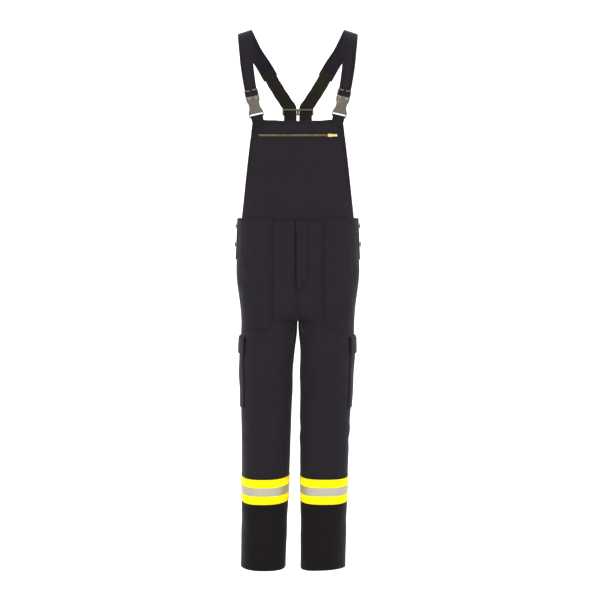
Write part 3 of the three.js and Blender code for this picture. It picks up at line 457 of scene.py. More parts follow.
@dataclass
class Sheet:
    """A grid of points that becomes a closed piece of cloth with a rounded rim."""

    outer: Array                       # rows x columns x 3, in millimetres above the hem
    inner: Array
    ring: bool = False                 # each row closes on itself
    stitched: str = ""                 # stitched edges: s and e for the first and last column, b and t
    keep: Optional[Array] = None       # cells that are cloth; the rest is cut out
    edge_u: Array = field(init=False)
    edge_v: Array = field(init=False)
    uv: Array = field(init=False)

    def __post_init__(self) -> None:
        """Lays the sheet's own coordinates, in metres, and the distances to its stitched edges."""
        closed = self.closed()
        across = np.linalg.norm(np.diff(closed, axis=1), axis=2)
        u = np.concatenate([np.zeros((len(closed), 1)), np.cumsum(across, 1)], 1)
        up = np.linalg.norm(np.diff(closed, axis=0), axis=2)
        v = np.concatenate([np.zeros((1, closed.shape[1])), np.cumsum(up, 0)], 0)
        middle = u[:, u.shape[1] // 2][:, None]
        self.uv = np.stack([u - middle, np.repeat(v.mean(1)[:, None], v.shape[1], 1)], 2) * MM
        self.edge_u = self.nearest("se", u, u[:, -1:] - u)
        self.edge_v = self.nearest("bt", v, v[-1:] - v)

    def closed(self) -> Array:
        """The outer face, with a ring's first column again at its end."""
        return np.concatenate([self.outer, self.outer[:, :1]], 1) if self.ring else self.outer

    def nearest(self, edges: str, to_first: Array, to_last: Array) -> Array:
        """The distance from each point to the nearer of two edges, if they are stitched.

        Args:
            edges: the letters of the two edges.
            to_first: distances to the first.
            to_last: distances to the last.

        Returns:
            The distances, in millimetres, or FAR where neither is stitched.
        """
        near = np.full(self.outer.shape[:2], FAR)
        for edge, gap in zip(edges, (to_first, to_last)):
            if edge in self.stitched:
                near = np.minimum(near, gap[:, :near.shape[1]])
        return near

    def flat(self) -> tuple[float, float, float]:
        """Measures the flat cut.

        Returns:
            Its width and length in metres, and its area in square metres.
        """
        width = np.ptp(self.uv[..., 0], axis=1).max()
        length = self.uv[-1, 0, 1]
        closed = self.closed()
        a, b = closed[1:, 1:] - closed[:-1, :-1], closed[1:, :-1] - closed[:-1, 1:]
        cells = np.linalg.norm(np.cross(a, b), axis=2) / 2
        if self.keep is not None:
            cells = cells * self.keep
        area = cells.sum() * MM * MM
        scale = max(1.0, math.sqrt(area / (width * length) / 0.99))
        return width * scale, length * scale, area

    @staticmethod
    def on_layer(pairs: Array, layer: int) -> Array:
        """Adds a layer to (row, column) pairs: 0 is the outer face, 1 the rim and 2 the inner face."""
        return np.concatenate([pairs, np.full((*pairs.shape[:-1], 1), layer)], -1)

    def mesh(self, name: str) -> bpy.types.Mesh:
        """Builds the closed mesh.

        The two faces share their grid. Round every free edge runs a middle line, pushed out from the
        cells beside it by 0.4 of the thickness, so that the rim is rounded like a folded hem.

        Args:
            name: the mesh's name.

        Returns:
            The mesh, in the row frame, with its map and its edge distances.
        """
        rows, columns = self.outer.shape[:2]
        spans = columns if self.ring else columns - 1
        keep = np.ones((rows - 1, spans), bool) if self.keep is None else self.keep
        r, c = np.nonzero(keep)
        cells = np.stack([r, c, r, c + 1, r + 1, c + 1, r + 1, c], 1).reshape(-1, 4, 2)
        index = cells[..., 0] * columns + cells[..., 1] % columns
        count = rows * columns
        flat_outer, flat_inner = self.outer.reshape(-1, 3), self.inner.reshape(-1, 3)
        centre = flat_outer[index].mean(1)
        total, number = np.zeros((count, 3)), np.zeros(count)
        for corner in range(4):
            np.add.at(total, index[:, corner], centre)
            np.add.at(number, index[:, corner], 1)
        out = flat_outer - total / np.maximum(number, 1)[:, None]
        out /= np.maximum(np.linalg.norm(out, axis=1), 1e-9)[:, None]
        thick = np.linalg.norm(flat_outer - flat_inner, axis=1)[:, None]
        rim = (flat_outer + flat_inner) / 2 + out * thick * 0.4
        edges = np.stack([cells, np.roll(cells, -1, 1)], 2).reshape(-1, 2, 2)
        ends = edges[..., 0] * columns + edges[..., 1] % columns
        low, high = ends.min(1), ends.max(1)
        _, first, times = np.unique(low * count + high, return_index=True, return_counts=True)
        free = edges[first[times == 1]]
        a, b = free[:, 0], free[:, 1]
        quads = [self.on_layer(cells, 0), self.on_layer(cells[:, ::-1], 2)]
        for lower, upper in ((0, 1), (1, 2)):
            quads.append(np.stack([self.on_layer(b, lower), self.on_layer(a, lower),
                                   self.on_layer(a, upper), self.on_layer(b, upper)], 1))
        quads = np.concatenate(quads)
        vertex = quads[..., 2] * count + quads[..., 0] * columns + quads[..., 1] % columns
        points = np.concatenate([flat_outer, rim, flat_inner])
        used, packed = np.unique(vertex, return_inverse=True)
        packed = packed.reshape(vertex.shape)
        uv = self.uv[quads[..., 0], quads[..., 1]]
        corners = points[used][packed]
        volume = (np.cross(corners[:, 0], corners[:, 1]) * corners[:, 2]).sum() \
            + (np.cross(corners[:, 0], corners[:, 2]) * corners[:, 3]).sum()
        if volume < 0:
            packed, uv = packed[:, ::-1], uv[:, ::-1]
        made = bpy.data.meshes.new(name)
        made.from_pydata(to_row(points[used]).tolist(), [], packed.tolist())
        layer = made.uv_layers.new(name="cloth")
        layer.data.foreach_set("uv", uv.reshape(-1).astype(np.float32))
        for key, values in (("edge_u", self.edge_u), ("edge_v", self.edge_v)):
            attribute = made.attributes.new(key, "FLOAT", "POINT")
            attribute.data.foreach_set("value", np.tile(values.reshape(-1), 3)[used].astype(np.float32))
        shade(made)
        return made


def shade(mesh: bpy.types.Mesh, sharp: Optional[float] = None) -> None:
    """Shades a mesh smoothly.

    Args:
        mesh: the mesh.
        sharp: the angle in degrees past which an edge stays sharp.
    """
    mesh.polygons.foreach_set("use_smooth", np.ones(len(mesh.polygons), bool))
    if sharp is not None:
        mesh.set_sharp_from_angle(angle=math.radians(sharp))
    mesh.update()


def hard_mesh(name: str, points: Array, faces: Sequence[Sequence[int]]) -> bpy.types.Mesh:
    """A mesh of closed shells with their faces turned outwards.

    Args:
        name: the mesh's name.
        points: in millimetres above the hem.
        faces: each face's points.

    Returns:
        The mesh, in the row frame, with flat shading.
    """
    made = bpy.data.meshes.new(name)
    made.from_pydata(to_row(points).tolist(), [], faces)
    shape = bmesh.new()
    shape.from_mesh(made)
    bmesh.ops.recalc_face_normals(shape, faces=shape.faces)
    shape.to_mesh(made)
    shape.free()
    made.update()
    return made


def place(name: str, mesh: bpy.types.Mesh, material: bpy.types.Material, slot: str, nodes: Sequence[str] = (),
          body: Optional[str] = "garment") -> bpy.types.Object:
    """Puts a mesh in the scene on its body, in place of its CAD nodes.

    Args:
        name: the piece's name.
        mesh: the final mesh, in the row frame.
        material: its finish.
        slot: the record's material slot; not used.
        nodes: the CAD nodes that it stands for.
        body: the body that it rides, or None to leave it on no body.

    Returns:
        The object.
    """
    made = bpy.data.objects.new(name, mesh)
    made.data.materials.clear()
    made.data.materials.append(material)
    bpy.context.scene.collection.objects.link(made)
    if nodes:
        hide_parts(*nodes)
    if body:
        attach(made, body)
    log.info("%s: %d faces", name, len(mesh.polygons))
    return made


def place_cloth(name: str, cloth: Sheet, material: bpy.types.Material, slot: str,
                body: Optional[str] = "garment",
                stands_for: Optional[str] = None) -> bpy.types.Object:
    """Places a piece of cloth.

    Args:
        name: the piece's name, which is also its CAD node's but for the capital.
        cloth: its grid.
        material: its finish.
        slot: the record's material slot.
        body: the body that it rides, or None to leave it on no body.
        stands_for: its CAD node, where that has another name.

    Returns:
        The object.
    """
    made = place(name, cloth.mesh(name), material, slot, [stands_for or name.lower()], body)
    return made


def from_cad(name: str, material: bpy.types.Material, slot: str, body: str,
             bevel: float) -> bpy.types.Object:
    """A hard piece made from its CAD node, with its corners rounded over.

    Args:
        name: the piece's name, which is also its CAD node's but for the capital.
        material: its finish.
        slot: the record's material slot.
        body: the body that it rides.
        bevel: radius of the rounded edges, in millimetres.

    Returns:
        The object.
    """
    source = bpy.data.objects[name.lower()]
    shape = bmesh.new()
    shape.from_mesh(source.data)
    shape.transform(source.matrix_world)
    bmesh.ops.remove_doubles(shape, verts=shape.verts, dist=1e-6)
    bmesh.ops.dissolve_limit(shape, angle_limit=math.radians(1.5), verts=shape.verts, edges=shape.edges)
    mesh = bpy.data.meshes.new(name)
    shape.to_mesh(mesh)
    shape.free()
    made = place(name, mesh, material, slot, [name.lower()], body)
    rounder = made.modifiers.new("Rounding", "BEVEL")
    rounder.width, rounder.segments, rounder.limit_method = bevel * MM, 3, "ANGLE"
    rounder.angle_limit = math.radians(CORNER)
    rounder.use_clamp_overlap = True
    shade(mesh, CORNER)
    return made


# ------------------------------------------------------------------ the shape of the garment
@dataclass
class BodyShape:
    """The body that the cloth hangs on: two legs that open into the seat.

    Sections are superellipses: x = c + a sgn(cos p)|cos p|^(2/n), y = b sgn(sin p)|sin p|^(2/n). A leg's
    is a closed loop and the trunk's is half a loop. Over the first 100 mm above the crotch one turns
    into the other by the share sqrt(1 - (1 - t)^2), and more gently away from the middle seams. `v`
    runs round: 0 at the side seam, -1 at the middle of the front or the inside of the leg, +1 at the
    middle of the back.
    """

    opening: float = 100.0     # height over which the legs open into the seat
    sway: float = 0.022        # lean of the legs, for each millimetre below the crotch
    # rows of height, outer and inner x, front and back depth
    leg: tuple = ((0, 161.5, 22.5, 78, 84), (213, 164.5, 19.5, 81, 86), (400, 168, 16, 86, 90),
                  (671, 175.5, 8.5, 104, 110), (INSEAM, 174, 1.5, 113, 120))
    # rows of height, half width, front and back depth
    trunk: tuple = ((INSEAM, 174, 113, 120), (861, 184.7, 121, 133), (911, 190, 121, 140),
                    (WAIST, 183, 121, 116))

    def __post_init__(self) -> None:
        """Works out the smooth outlines."""
        self.heights = np.arange(-120.0, 1201.0, 2.0)
        self.leg_tables, self.trunk_tables = self.soften(self.leg), self.soften(self.trunk)

    def soften(self, table: tuple) -> list[Array]:
        """Softens a table of stations: linear between them, then averaged over 90 mm.

        Args:
            table: rows of a height and its sizes.

        Returns:
            For each size, its values at self.heights.
        """
        kernel = np.hanning(47)
        kernel /= kernel.sum()
        rows = np.array(table, float)
        wide = np.concatenate([2 * rows[:1] - rows[1:2], rows, 2 * rows[-1:] - rows[-2:-1]])
        return [np.convolve(np.pad(np.interp(self.heights, wide[:, 0], wide[:, k]), 23, mode="edge"),
                            kernel, mode="valid") for k in range(1, rows.shape[1])]

    @staticmethod
    def power(value: Array, exponent: Array) -> Array:
        """sgn(value) |value|^exponent."""
        return np.sign(value) * np.abs(value) ** exponent

    def point(self, h: Array, v: Array) -> Array:
        """Points of the cloth's outer face for the wearer's left half, before it drapes or leans.

        Args:
            h: heights.
            v: places round the body.

        Returns:
            The points.
        """
        h, v = np.broadcast_arrays(np.asarray(h, float), np.asarray(v, float))
        outer, inner, front, back = (np.interp(h, self.heights, t) for t in self.leg_tables)
        depth = np.where(v > 0, back, front)
        e = 2 / 2.3
        leg = np.stack([(outer + inner) / 2 + (outer - inner) / 2 * self.power(np.cos(np.pi * v), e),
                        depth * self.power(np.sin(np.pi * v), e)], -1)
        half, front, back = (np.interp(h, self.heights, t) for t in self.trunk_tables)
        depth = np.where(v > 0, back, front)
        e = 2 / (3 - 0.7 * np.clip((h - INSEAM) / 150, 0, 1))
        trunk = np.stack([half * self.power(np.cos(np.pi * v / 2), e),
                          depth * self.power(np.sin(np.pi * v / 2), e)], -1)
        t = np.clip((h - INSEAM) / self.opening, 0, 1)
        outside = 1 - smooth((np.abs(v) - 0.5) / 0.5)
        share = (outside * smooth((h - 690) / 190) + (1 - outside) * np.sqrt(1 - (1 - t) ** 2))[..., None]
        return np.concatenate([leg * (1 - share) + trunk * share, h[..., None]], -1)

    def normal(self, h: Array, v: Array) -> Array:
        """Outward normals: the cross product of the steps round and up the cloth.

        Args:
            h: heights.
            v: places round the body.

        Returns:
            Unit normals.
        """
        h, v = np.broadcast_arrays(np.asarray(h, float), np.asarray(v, float))
        round_ = self.point(h, v + 2e-3) - self.point(h, v - 2e-3)
        up = self.point(h + 1, v) - self.point(h - 1, v)
        made = np.cross(round_, up)
        return made / np.maximum(np.linalg.norm(made, axis=-1), 1e-9)[..., None]

    def drape(self, h: Array, v: Array, side: int) -> Array:
        """How far the cloth stands off the plain shape, in millimetres.

        Long soft folds 3 cos(3 pi v + phase) down the lower legs, rings of creases behind and before
        the knee, short creases that fan out from the crotch, and small ones below the hip. All of it
        dies out at the middle seams above the crotch, where the two halves meet.

        Args:
            h: heights.
            v: places round the body.
            side: LEFT or RIGHT.

        Returns:
            The stand-off.
        """
        phase = 0.7 if side == LEFT else 2.6
        low = smooth((720 - h) / 420)
        made = low * 2.2 * np.cos(3 * np.pi * v + phase + 0.004 * h)
        made += low * 0.9 * np.cos(5 * np.pi * v - 0.007 * h)
        turn = 2.2 * np.cos(np.pi * v + phase)
        made += 1.7 * bump(h, 415, 46) * np.sin(h / 11.5 + turn) * (0.5 + 0.5 * np.cos(2 * np.pi * v + phase))
        made += 0.9 * bump(h, 150, 60) * np.sin(h / 19 + 1.7 * turn)
        made += 1.3 * bump(h, 600, 70) * np.sin(h / 24 - turn)
        across, up = (1 - np.abs(v)) * 250, h - 778
        reach, angle = np.hypot(across, up), np.arctan2(up, across + 1e-6)
        fan = np.sin(9 * angle + phase) * bump(reach, 58, 44)
        made += 2.2 * fan * np.where(v < 0, 1.0, 1.3)
        made += 1.4 * bump(h, 905, 60) * np.sin(h / 13 + 6 * np.abs(v) + phase) * bump(np.abs(v), 0.35, 0.22)
        ends = np.where(h > INSEAM, 1 - np.abs(v) ** 6, 1.0)
        return made * ends * smooth((1028 - h) / 40)

    def skin(self, h: Array, v: Array, out: Array, side: int) -> Array:
        """Points outside the draped cloth, in their place on the body.

        Args:
            h: heights.
            v: places round the body.
            out: how far outside the cloth they lie.
            side: LEFT or RIGHT.

        Returns:
            The points.
        """
        h, v = np.broadcast_arrays(np.asarray(h, float), np.asarray(v, float))
        lift = self.drape(h, v, side) + out
        made = self.point(h, v) + self.normal(h, v) * lift[..., None]
        return self.settle(made, side)

    def settle(self, points: Array, side: int) -> Array:
        """Mirrors a half and leans the legs towards the wearer's right.

        Args:
            points: points of the wearer's left half.
            side: LEFT or RIGHT.

        Returns:
            The moved points.
        """
        made = points.copy()
        made[..., 0] = side * points[..., 0] - self.sway * np.maximum(0, INSEAM - points[..., 2])
        return made

    def place_at_x(self, h: Array, x: Array, back: bool) -> Array:
        """Finds the places on the front or the back at a distance from the middle plane.

        Args:
            h: heights, one for each row.
            x: distances from the middle plane.
            back: whether they are on the back.

        Returns:
            Places round the body.
        """
        line = np.linspace(1, 0, 401)
        found = np.empty(np.broadcast(h, x).shape)
        heights, xs = np.broadcast_arrays(np.asarray(h, float), np.asarray(x, float))
        for row in range(found.shape[0]):
            known = self.point(heights[row].flat[0], line if back else -line)[:, 0]
            found[row] = np.interp(np.abs(xs[row]), np.maximum.accumulate(known), line)
        return found if back else -found

    def place_at_y(self, h: Array, y: Array) -> Array:
        """Finds the places round the side at a distance behind the side seam.

        Args:
            h: heights, one for each row.
            y: distances behind the seam.

        Returns:
            Places round the body.
        """
        line = np.linspace(-0.5, 0.5, 401)
        heights, ys = np.broadcast_arrays(np.asarray(h, float), np.asarray(y, float))
        return np.stack([np.interp(ys[row], self.point(heights[row].flat[0], line)[:, 1], line)
                         for row in range(ys.shape[0])])

    def waist_y(self, x: Array, back: bool) -> Array:
        """How far back the cloth lies at the waist.

        Args:
            x: distances from the middle plane.
            back: whether they are on the back.

        Returns:
            The y of each.
        """
        line = np.linspace(1, 0, 401)
        known = self.point(np.full(401, WAIST), line if back else -line)
        return np.interp(np.abs(x), np.maximum.accumulate(known[:, 0]), known[:, 1])

    def raised(self, back: bool, x: Array, h: Array, out: Array) -> Array:
        """Points of the bib or the back panel: the waist's curve, easing to a flat sheet further up.

        Args:
            back: whether it is the back panel.
            x: distances from the middle plane.
            h: heights.
            out: how far outside the cloth they lie.

        Returns:
            The points.
        """
        top, level = (165.0, 118.0) if back else (223.0, BIB_FACE)
        share = smooth((h - WAIST) / top)
        y = self.waist_y(x, back) * (1 - share) + level * share + (out if back else -np.asarray(out, float))
        return np.stack(np.broadcast_arrays(x, y, h), -1)


SHAPE = BodyShape()
CLOTH = 1.8            # two layers and their seam
GAP = 0.2              # half the gap between cloth sewn edge to edge
HALF_GIRTH = 270.0     # millimetres round the body for one unit of v, near enough for seams


def body_sheet(side: int, heights: Array, places: Array, out: float | Array, thick: float, ring: bool = False,
               stitched: str = "") -> Sheet:
    """A sheet laid on the body.

    Args:
        side: LEFT or RIGHT.
        heights: one for each row.
        places: places round the body, for each column, or for each row and column.
        out: height of the sheet's inner face above the cloth, a number or a grid.
        thick: its thickness.
        ring: whether it closes round the leg.
        stitched: its stitched edges.

    Returns:
        The sheet.
    """
    h, v = np.broadcast_arrays(np.asarray(heights, float)[:, None], np.atleast_2d(places))
    out = np.broadcast_to(np.asarray(out, float), h.shape)
    return Sheet(SHAPE.skin(h, v, out + thick, side), SHAPE.skin(h, v, out, side), ring, stitched)


def stitch_across(cloth: Sheet, height: float) -> None:
    """Adds one row of stitches across a sheet at a height."""
    gap = np.abs(cloth.outer[..., 2] - height)
    cloth.edge_v = np.where(gap < 15, 2 - gap, cloth.edge_v)


def rim_ease(count_from_edge: Array, reach: float) -> Array:
    """0 at an edge, rising over `reach` millimetres to 1 with a round shoulder: sqrt(1 - (1 - t)^2)."""
    t = np.clip(count_from_edge / reach, 0, 1)
    return np.sqrt(1 - (1 - t) ** 2)


@dataclass
class Trousers:
    """The four panels, the waistband, the fly cover, the side plackets and their buttons."""

    finishes: Finishes
    hip_vent: float = 965.0        # foot of the opening at each hip
    vent_gap: float = 2.3          # how far each side of it draws back
    placket_half: float = 19.0     # half the width of the strip behind it
    placket_lap: float = 14.0      # how far the strip runs below the opening
    fly_gap: float = 6.5           # half the fly's opening
    fly_from: float = 881.0
    cover_foot: float = 864.0
    cover_round: float = 43.0      # height of its rounded corner
    cover_reach: float = 44.0      # width of that corner
    cover_sewn: float = 36.0       # its sewn edge, from the middle plane
    cover_free: float = -3.0       # its free edge
    hem_turn: float = 19.0         # depth of the turned hem
    button_bevel: float = 0.8

    def rows(self) -> Array:
        """Heights of the panels' rows: every 4 mm, and close together where the legs open out.

        Returns:
            The heights, rising.
        """
        opening = INSEAM + SHAPE.opening * (1 - np.cos(np.linspace(0, np.pi / 2, 40)))
        return np.concatenate([np.linspace(0, INSEAM - 4, 190), opening,
                               np.linspace(INSEAM + SHAPE.opening + 4, BAND_FOOT, 43)])

    def panel(self, side: int, back: bool) -> Sheet:
        """One leg panel, its edges drawn back from the side seam, the middle seam and the fly.

        Beside each long seam the cloth puckers by 0.35 sin(2 pi h / 9) exp(-d / 7) and is drawn in by
        0.5 exp(-d / 2.5), with d the distance from the seam. Its hem ripples by 0.5 mm.

        Args:
            side: LEFT or RIGHT.
            back: whether it is a back panel.

        Returns:
            The sheet.
        """
        h = self.rows()[:, None]
        towards = 1 if back else -1
        share = np.linspace(0, 1, 80)[None, :]
        v = towards * (share + 0.012 * np.sin(2 * np.pi * share))
        near = np.minimum(np.abs(v), 1 - np.abs(v)) * HALF_GIRTH
        pucker = 0.35 * np.sin(2 * np.pi * h / 9) * np.exp(-near / 7) - 0.5 * np.exp(-near / 2.5)
        hem = 0.5 * np.sin(2 * np.pi * v * 22) * np.exp(-h / 12)
        middle = np.full(h.shape, GAP)
        if not back:
            middle = GAP + (self.fly_gap - GAP) * smooth((h - self.fly_from + 26) / 26)
        faces = []
        for out in (0.0, -CLOTH):
            lift = SHAPE.drape(h, v, side) + pucker + hem + out
            points = SHAPE.point(h, v) + SHAPE.normal(h, v) * lift[..., None]
            vent = GAP + self.vent_gap * smooth((h[:, 0] - self.hip_vent + 6) / 8)
            points[:, 0, 1] = towards * vent
            lower = h[:, 0] <= INSEAM
            points[:, -1, 1] = np.where(lower, towards * GAP, points[:, -1, 1])
            points[:, -1, 0] = np.where(lower, points[:, -1, 0], np.broadcast_to(middle, h.shape)[:, 0])
            fixed = points[:, -1, 0][:, None]
            above = (h > INSEAM) & (np.abs(v) > 0.5)
            points[..., 0] = np.where(above, np.maximum(points[..., 0], fixed), points[..., 0])
            points[..., 2] -= 2.0 * np.sin(2 * np.pi * v + 0.5 * side) * np.exp(-h / 30)
            faces.append(SHAPE.settle(points, side))
        made = Sheet(*faces, stitched="se")
        stitch_across(made, self.hem_turn)
        return made

    def band(self, side: int, back: bool) -> tuple[Array, Array]:
        """Outer and inner face of one quarter of the waistband.

        Args:
            side: LEFT or RIGHT.
            back: whether it is a back quarter.

        Returns:
            Grids from the side seam to the middle.
        """
        h = np.linspace(BAND_FOOT + 2 * GAP, WAIST, 14)[:, None]
        towards = 1 if back else -1
        v = towards * np.linspace(0, 1, 90)[None, :]
        pucker = 0.3 * np.sin(2 * np.pi * v * 40) * np.sin(np.pi * (h - BAND_FOOT) / (WAIST - BAND_FOOT))
        faces = []
        for out in (0.8, -CLOTH):
            lift = SHAPE.drape(h, v, side) + out + pucker
            points = SHAPE.point(h, v) + SHAPE.normal(h, v) * lift[..., None]
            points[:, 0, 1] = towards * (GAP + self.vent_gap)
            points[:, -1, 0] = 0.0 if back else self.fly_gap
            points[..., 0] = np.maximum(points[..., 0], points[:, -1:, 0])
            faces.append(SHAPE.settle(points, side))
        return faces[0], faces[1]

    def cover(self) -> Sheet:
        """The fly cover: sewn down along its outer edge, standing 3.2 mm off the cloth over the zip.

        It thins towards the sewn edge. Its foot is a quarter circle from the sewn edge to the free edge.

        Returns:
            The sheet.
        """
        turn, knee = np.linspace(0.12, np.pi / 2, 22), self.cover_foot + self.cover_round
        h = np.concatenate([knee - self.cover_round * np.cos(turn), np.linspace(knee + 4, WAIST, 40)])
        below = np.clip((knee - h) / self.cover_reach, 0, 1)
        end = self.cover_sewn + self.cover_reach * (np.sqrt(np.clip(1 - below ** 2, 0.004, 1)) - 1)
        free = self.cover_free - 2.2 * smooth((h - BAND_FOOT - 11) / 12)[:, None]
        x = free + (end[:, None] - free) * np.linspace(0, 1, 24)[None, :]
        on_band = 0.8 * smooth((h - BAND_FOOT + 4) / 5)[:, None]
        wave = 0.4 * np.sin(h / 17)[:, None] * np.exp(-(x + 3) / 8)
        rise = 0.3 + on_band + 2.9 * (1 - smooth((x - 3) / 12)) + wave
        thick = 0.8 + 0.8 * smooth((end[:, None] - x) / 7)
        v = SHAPE.place_at_x(h[:, None], np.maximum(np.abs(x), 1), False)
        y = SHAPE.skin(h[:, None], v, 0.0, LEFT)[..., 1]
        faces = [np.stack([x, y - rise - lift, np.repeat(h[:, None], 24, 1)], -1) for lift in (thick, 0.0)]
        made = Sheet(*faces, stitched="et")
        stitch_across(made, BAND_FOOT)
        return made

    def placket(self, side: int) -> Sheet:
        """The strip behind which a side opening closes.

        Args:
            side: LEFT or RIGHT.

        Returns:
            The sheet.
        """
        h = np.linspace(self.hip_vent - self.placket_lap, WAIST, 34)
        y = np.linspace(-self.placket_half, self.placket_half, 14)[None, :].repeat(34, 0)
        v = SHAPE.place_at_y(h[:, None], y)
        made = body_sheet(side, h, v, 1.4, 1.6, stitched="seb")
        for face in (made.outer, made.inner):
            face[..., 1] = y
        return made

    def build(self) -> None:
        """Makes every piece."""
        navy, finishes = self.finishes.navy, self.finishes
        for side in (LEFT, RIGHT):
            name = side_name(side)
            for back, word in ((False, "front"), (True, "back")):
                place_cloth(f"Leg_{word}_{name}", self.panel(side, back), navy, "navy_cloth")
            outer, inner = self.band(side, False)
            place_cloth(f"Waistband_front_{name}", Sheet(outer, inner, stitched="st"), navy, "navy_cloth")
            place_cloth(f"Side_placket_{name}", self.placket(side), navy, "navy_cloth")
            for number in (1, 2):
                from_cad(f"Side_button_{number}_{name}", finishes.button,
                         "dark_plastic", "garment", self.button_bevel)
        halves = [self.band(side, True) for side in (LEFT, RIGHT)]
        faces = [np.concatenate([halves[0][k], halves[1][k][:, -2::-1]], 1) for k in (0, 1)]
        place_cloth("Waistband_back", Sheet(*faces, stitched="sebt"), navy, "navy_cloth")
        place_cloth("Fly_cover", self.cover(), navy, "navy_cloth")


@dataclass
class Pockets:
    """Front and seat pockets, and the cargo pockets with their flaps and hook-and-loop."""

    finishes: Finishes
    patch: float = 1.6                 # thickness of a pocket's cloth
    front_foot: float = 737.0
    front_x: tuple[float, float] = (74.0, 168.0)        # from the middle plane
    front_corner: tuple[float, float] = (25.0, 30.0)    # width and height cut off its inner corner
    mouth_foot: float = 875.0
    mouth_slant: float = 16.0
    rear_foot: float = 853.0
    rear_head: float = 1001.0
    rear_x: tuple[float, float] = (28.0, 150.0)
    rear_corner: float = 22.0          # cut off both its lower corners
    cargo_head: float = 719.0
    cargo_foot: float = 497.0
    cargo_span: tuple[float, float] = (-37 / 180, 58 / 180)     # its places round the leg
    cargo_mouth: float = 18.0          # how far its mouth lies below the flap's head
    flap_length: float = 53.0
    tape_h: tuple[float, float] = (47.0, 31.0)          # below the flap's head
    tape_span: tuple[float, float] = (-18 / 180, 26 / 180)
    seam_x: float = 176.0              # the side seam at the flap's head
    bend: float = 9.0                  # how much of a flap bends when it is lifted
    loop_out: float = 4.3
    hook_out: float = 4.95

    def flat_pocket(self, side: int, back: bool, h: Array, left: Array, right: Array) -> Sheet:
        """A patch pocket on the front or the back.

        Args:
            side: LEFT or RIGHT.
            back: whether it is on the seat.
            h: heights of its rows.
            left: where each row starts, from the middle plane.
            right: where each row ends.

        Returns:
            The sheet, which bellies out by up to 1 mm between its seams.
        """
        x = left[:, None] + (right - left)[:, None] * np.linspace(0, 1, 30)[None, :]
        v = SHAPE.place_at_x(h[:, None], x, back)
        to_side = np.minimum(x - left[:, None], right[:, None] - x)
        to_end = np.minimum(h - h[0], h[-1] - h)[:, None]
        belly = 1.0 * smooth(to_side / 25) * smooth(to_end / 25)
        band = 0.8 * smooth((h - BAND_FOOT + 5) / 8)[:, None]
        return body_sheet(side, h, v, 0.6 + belly + band, self.patch, stitched="seb" + ("t" if back else ""))

    def front_pocket(self, side: int) -> Sheet:
        """A front pocket: chamfered inner corner, and a mouth that slants in towards the waist.

        Args:
            side: LEFT or RIGHT.

        Returns:
            The sheet.
        """
        (inside, outside), (wide, tall), head = self.front_x, self.front_corner, WAIST - 0.5
        corner = self.front_foot + tall
        h = np.concatenate([np.linspace(self.front_foot, corner, 16), np.linspace(corner + 4, head, 76)])
        left = np.interp(h, [self.front_foot, corner], [inside + wide, inside])
        right = np.interp(h, [self.mouth_foot, head], [outside, outside - self.mouth_slant])
        made = self.flat_pocket(side, False, h, left, right)
        stitch_across(made, BAND_FOOT)
        return made

    def seat_pocket(self, side: int) -> Sheet:
        """A seat pocket with both lower corners cut off.

        Args:
            side: LEFT or RIGHT.

        Returns:
            The sheet.
        """
        (inside, outside), corner = self.rear_x, self.rear_foot + self.rear_corner
        h = np.concatenate([np.linspace(self.rear_foot, corner, 12),
                            np.linspace(corner + 4, self.rear_head, 31)])
        left = np.interp(h, [self.rear_foot, corner], [inside + self.rear_corner, inside])
        right = np.interp(h, [self.rear_foot, corner], [outside - self.rear_corner, outside])
        return self.flat_pocket(side, True, h, left, right)

    def pouch(self, side: int) -> Sheet:
        """A cargo pouch: sewn down round three sides, and 2 mm off the leg inside them.

        Args:
            side: LEFT or RIGHT.

        Returns:
            The sheet.
        """
        h = np.concatenate([[self.cargo_foot, self.cargo_foot + 1.5, self.cargo_foot + 4],
                            np.linspace(self.cargo_foot + 8, self.cargo_head - self.cargo_mouth, 50)])
        v = np.linspace(*self.cargo_span, 64)[None, :]
        span = (v - v[0, 0]) * 2 * HALF_GIRTH      # so that its sides rise twice as steeply as its foot
        to_edge = np.minimum(np.minimum(span, span[:, ::-1]), h[:, None] - self.cargo_foot)
        rise = 0.5 + 1.7 * rim_ease(to_edge, 9)
        rise = rise + 0.4 * smooth(to_edge / 40) * np.sin(h[:, None] / 23 + 9 * v)
        return body_sheet(side, h, v, rise, self.patch, stitched="sebt")

    def flap(self, side: int) -> Sheet:
        """A cargo flap: sewn along its head, curving out to 5.6 mm and falling over the pouch.

        Args:
            side: LEFT or RIGHT.

        Returns:
            The sheet.
        """
        lap = 3 / 180
        h = np.linspace(self.cargo_head - self.flap_length, self.cargo_head, 24)
        v = np.linspace(self.cargo_span[0] - lap, self.cargo_span[1] + lap, 66)[None, :]
        rise = 0.5 + 5.1 * rim_ease(self.cargo_head - h, 10)[:, None]
        low = smooth((self.cargo_head - h) / self.flap_length)[:, None]
        rise = rise + 0.45 * low * (np.cos(14 * v + 0.5 * side) + 1)
        return body_sheet(side, h, v, rise, self.patch, stitched="sebt")

    def fastener(self, side: int, out: float) -> Sheet:
        """A strip of hook or loop tape, under the flap or on the pouch.

        Args:
            side: LEFT or RIGHT.
            out: height of its inner face above the leg.

        Returns:
            The sheet.
        """
        h = self.cargo_head - np.linspace(*self.tape_h, 6)
        v = np.linspace(*self.tape_span, 30)[None, :]
        return body_sheet(side, h, v, out, 0.5, stitched="sebt")

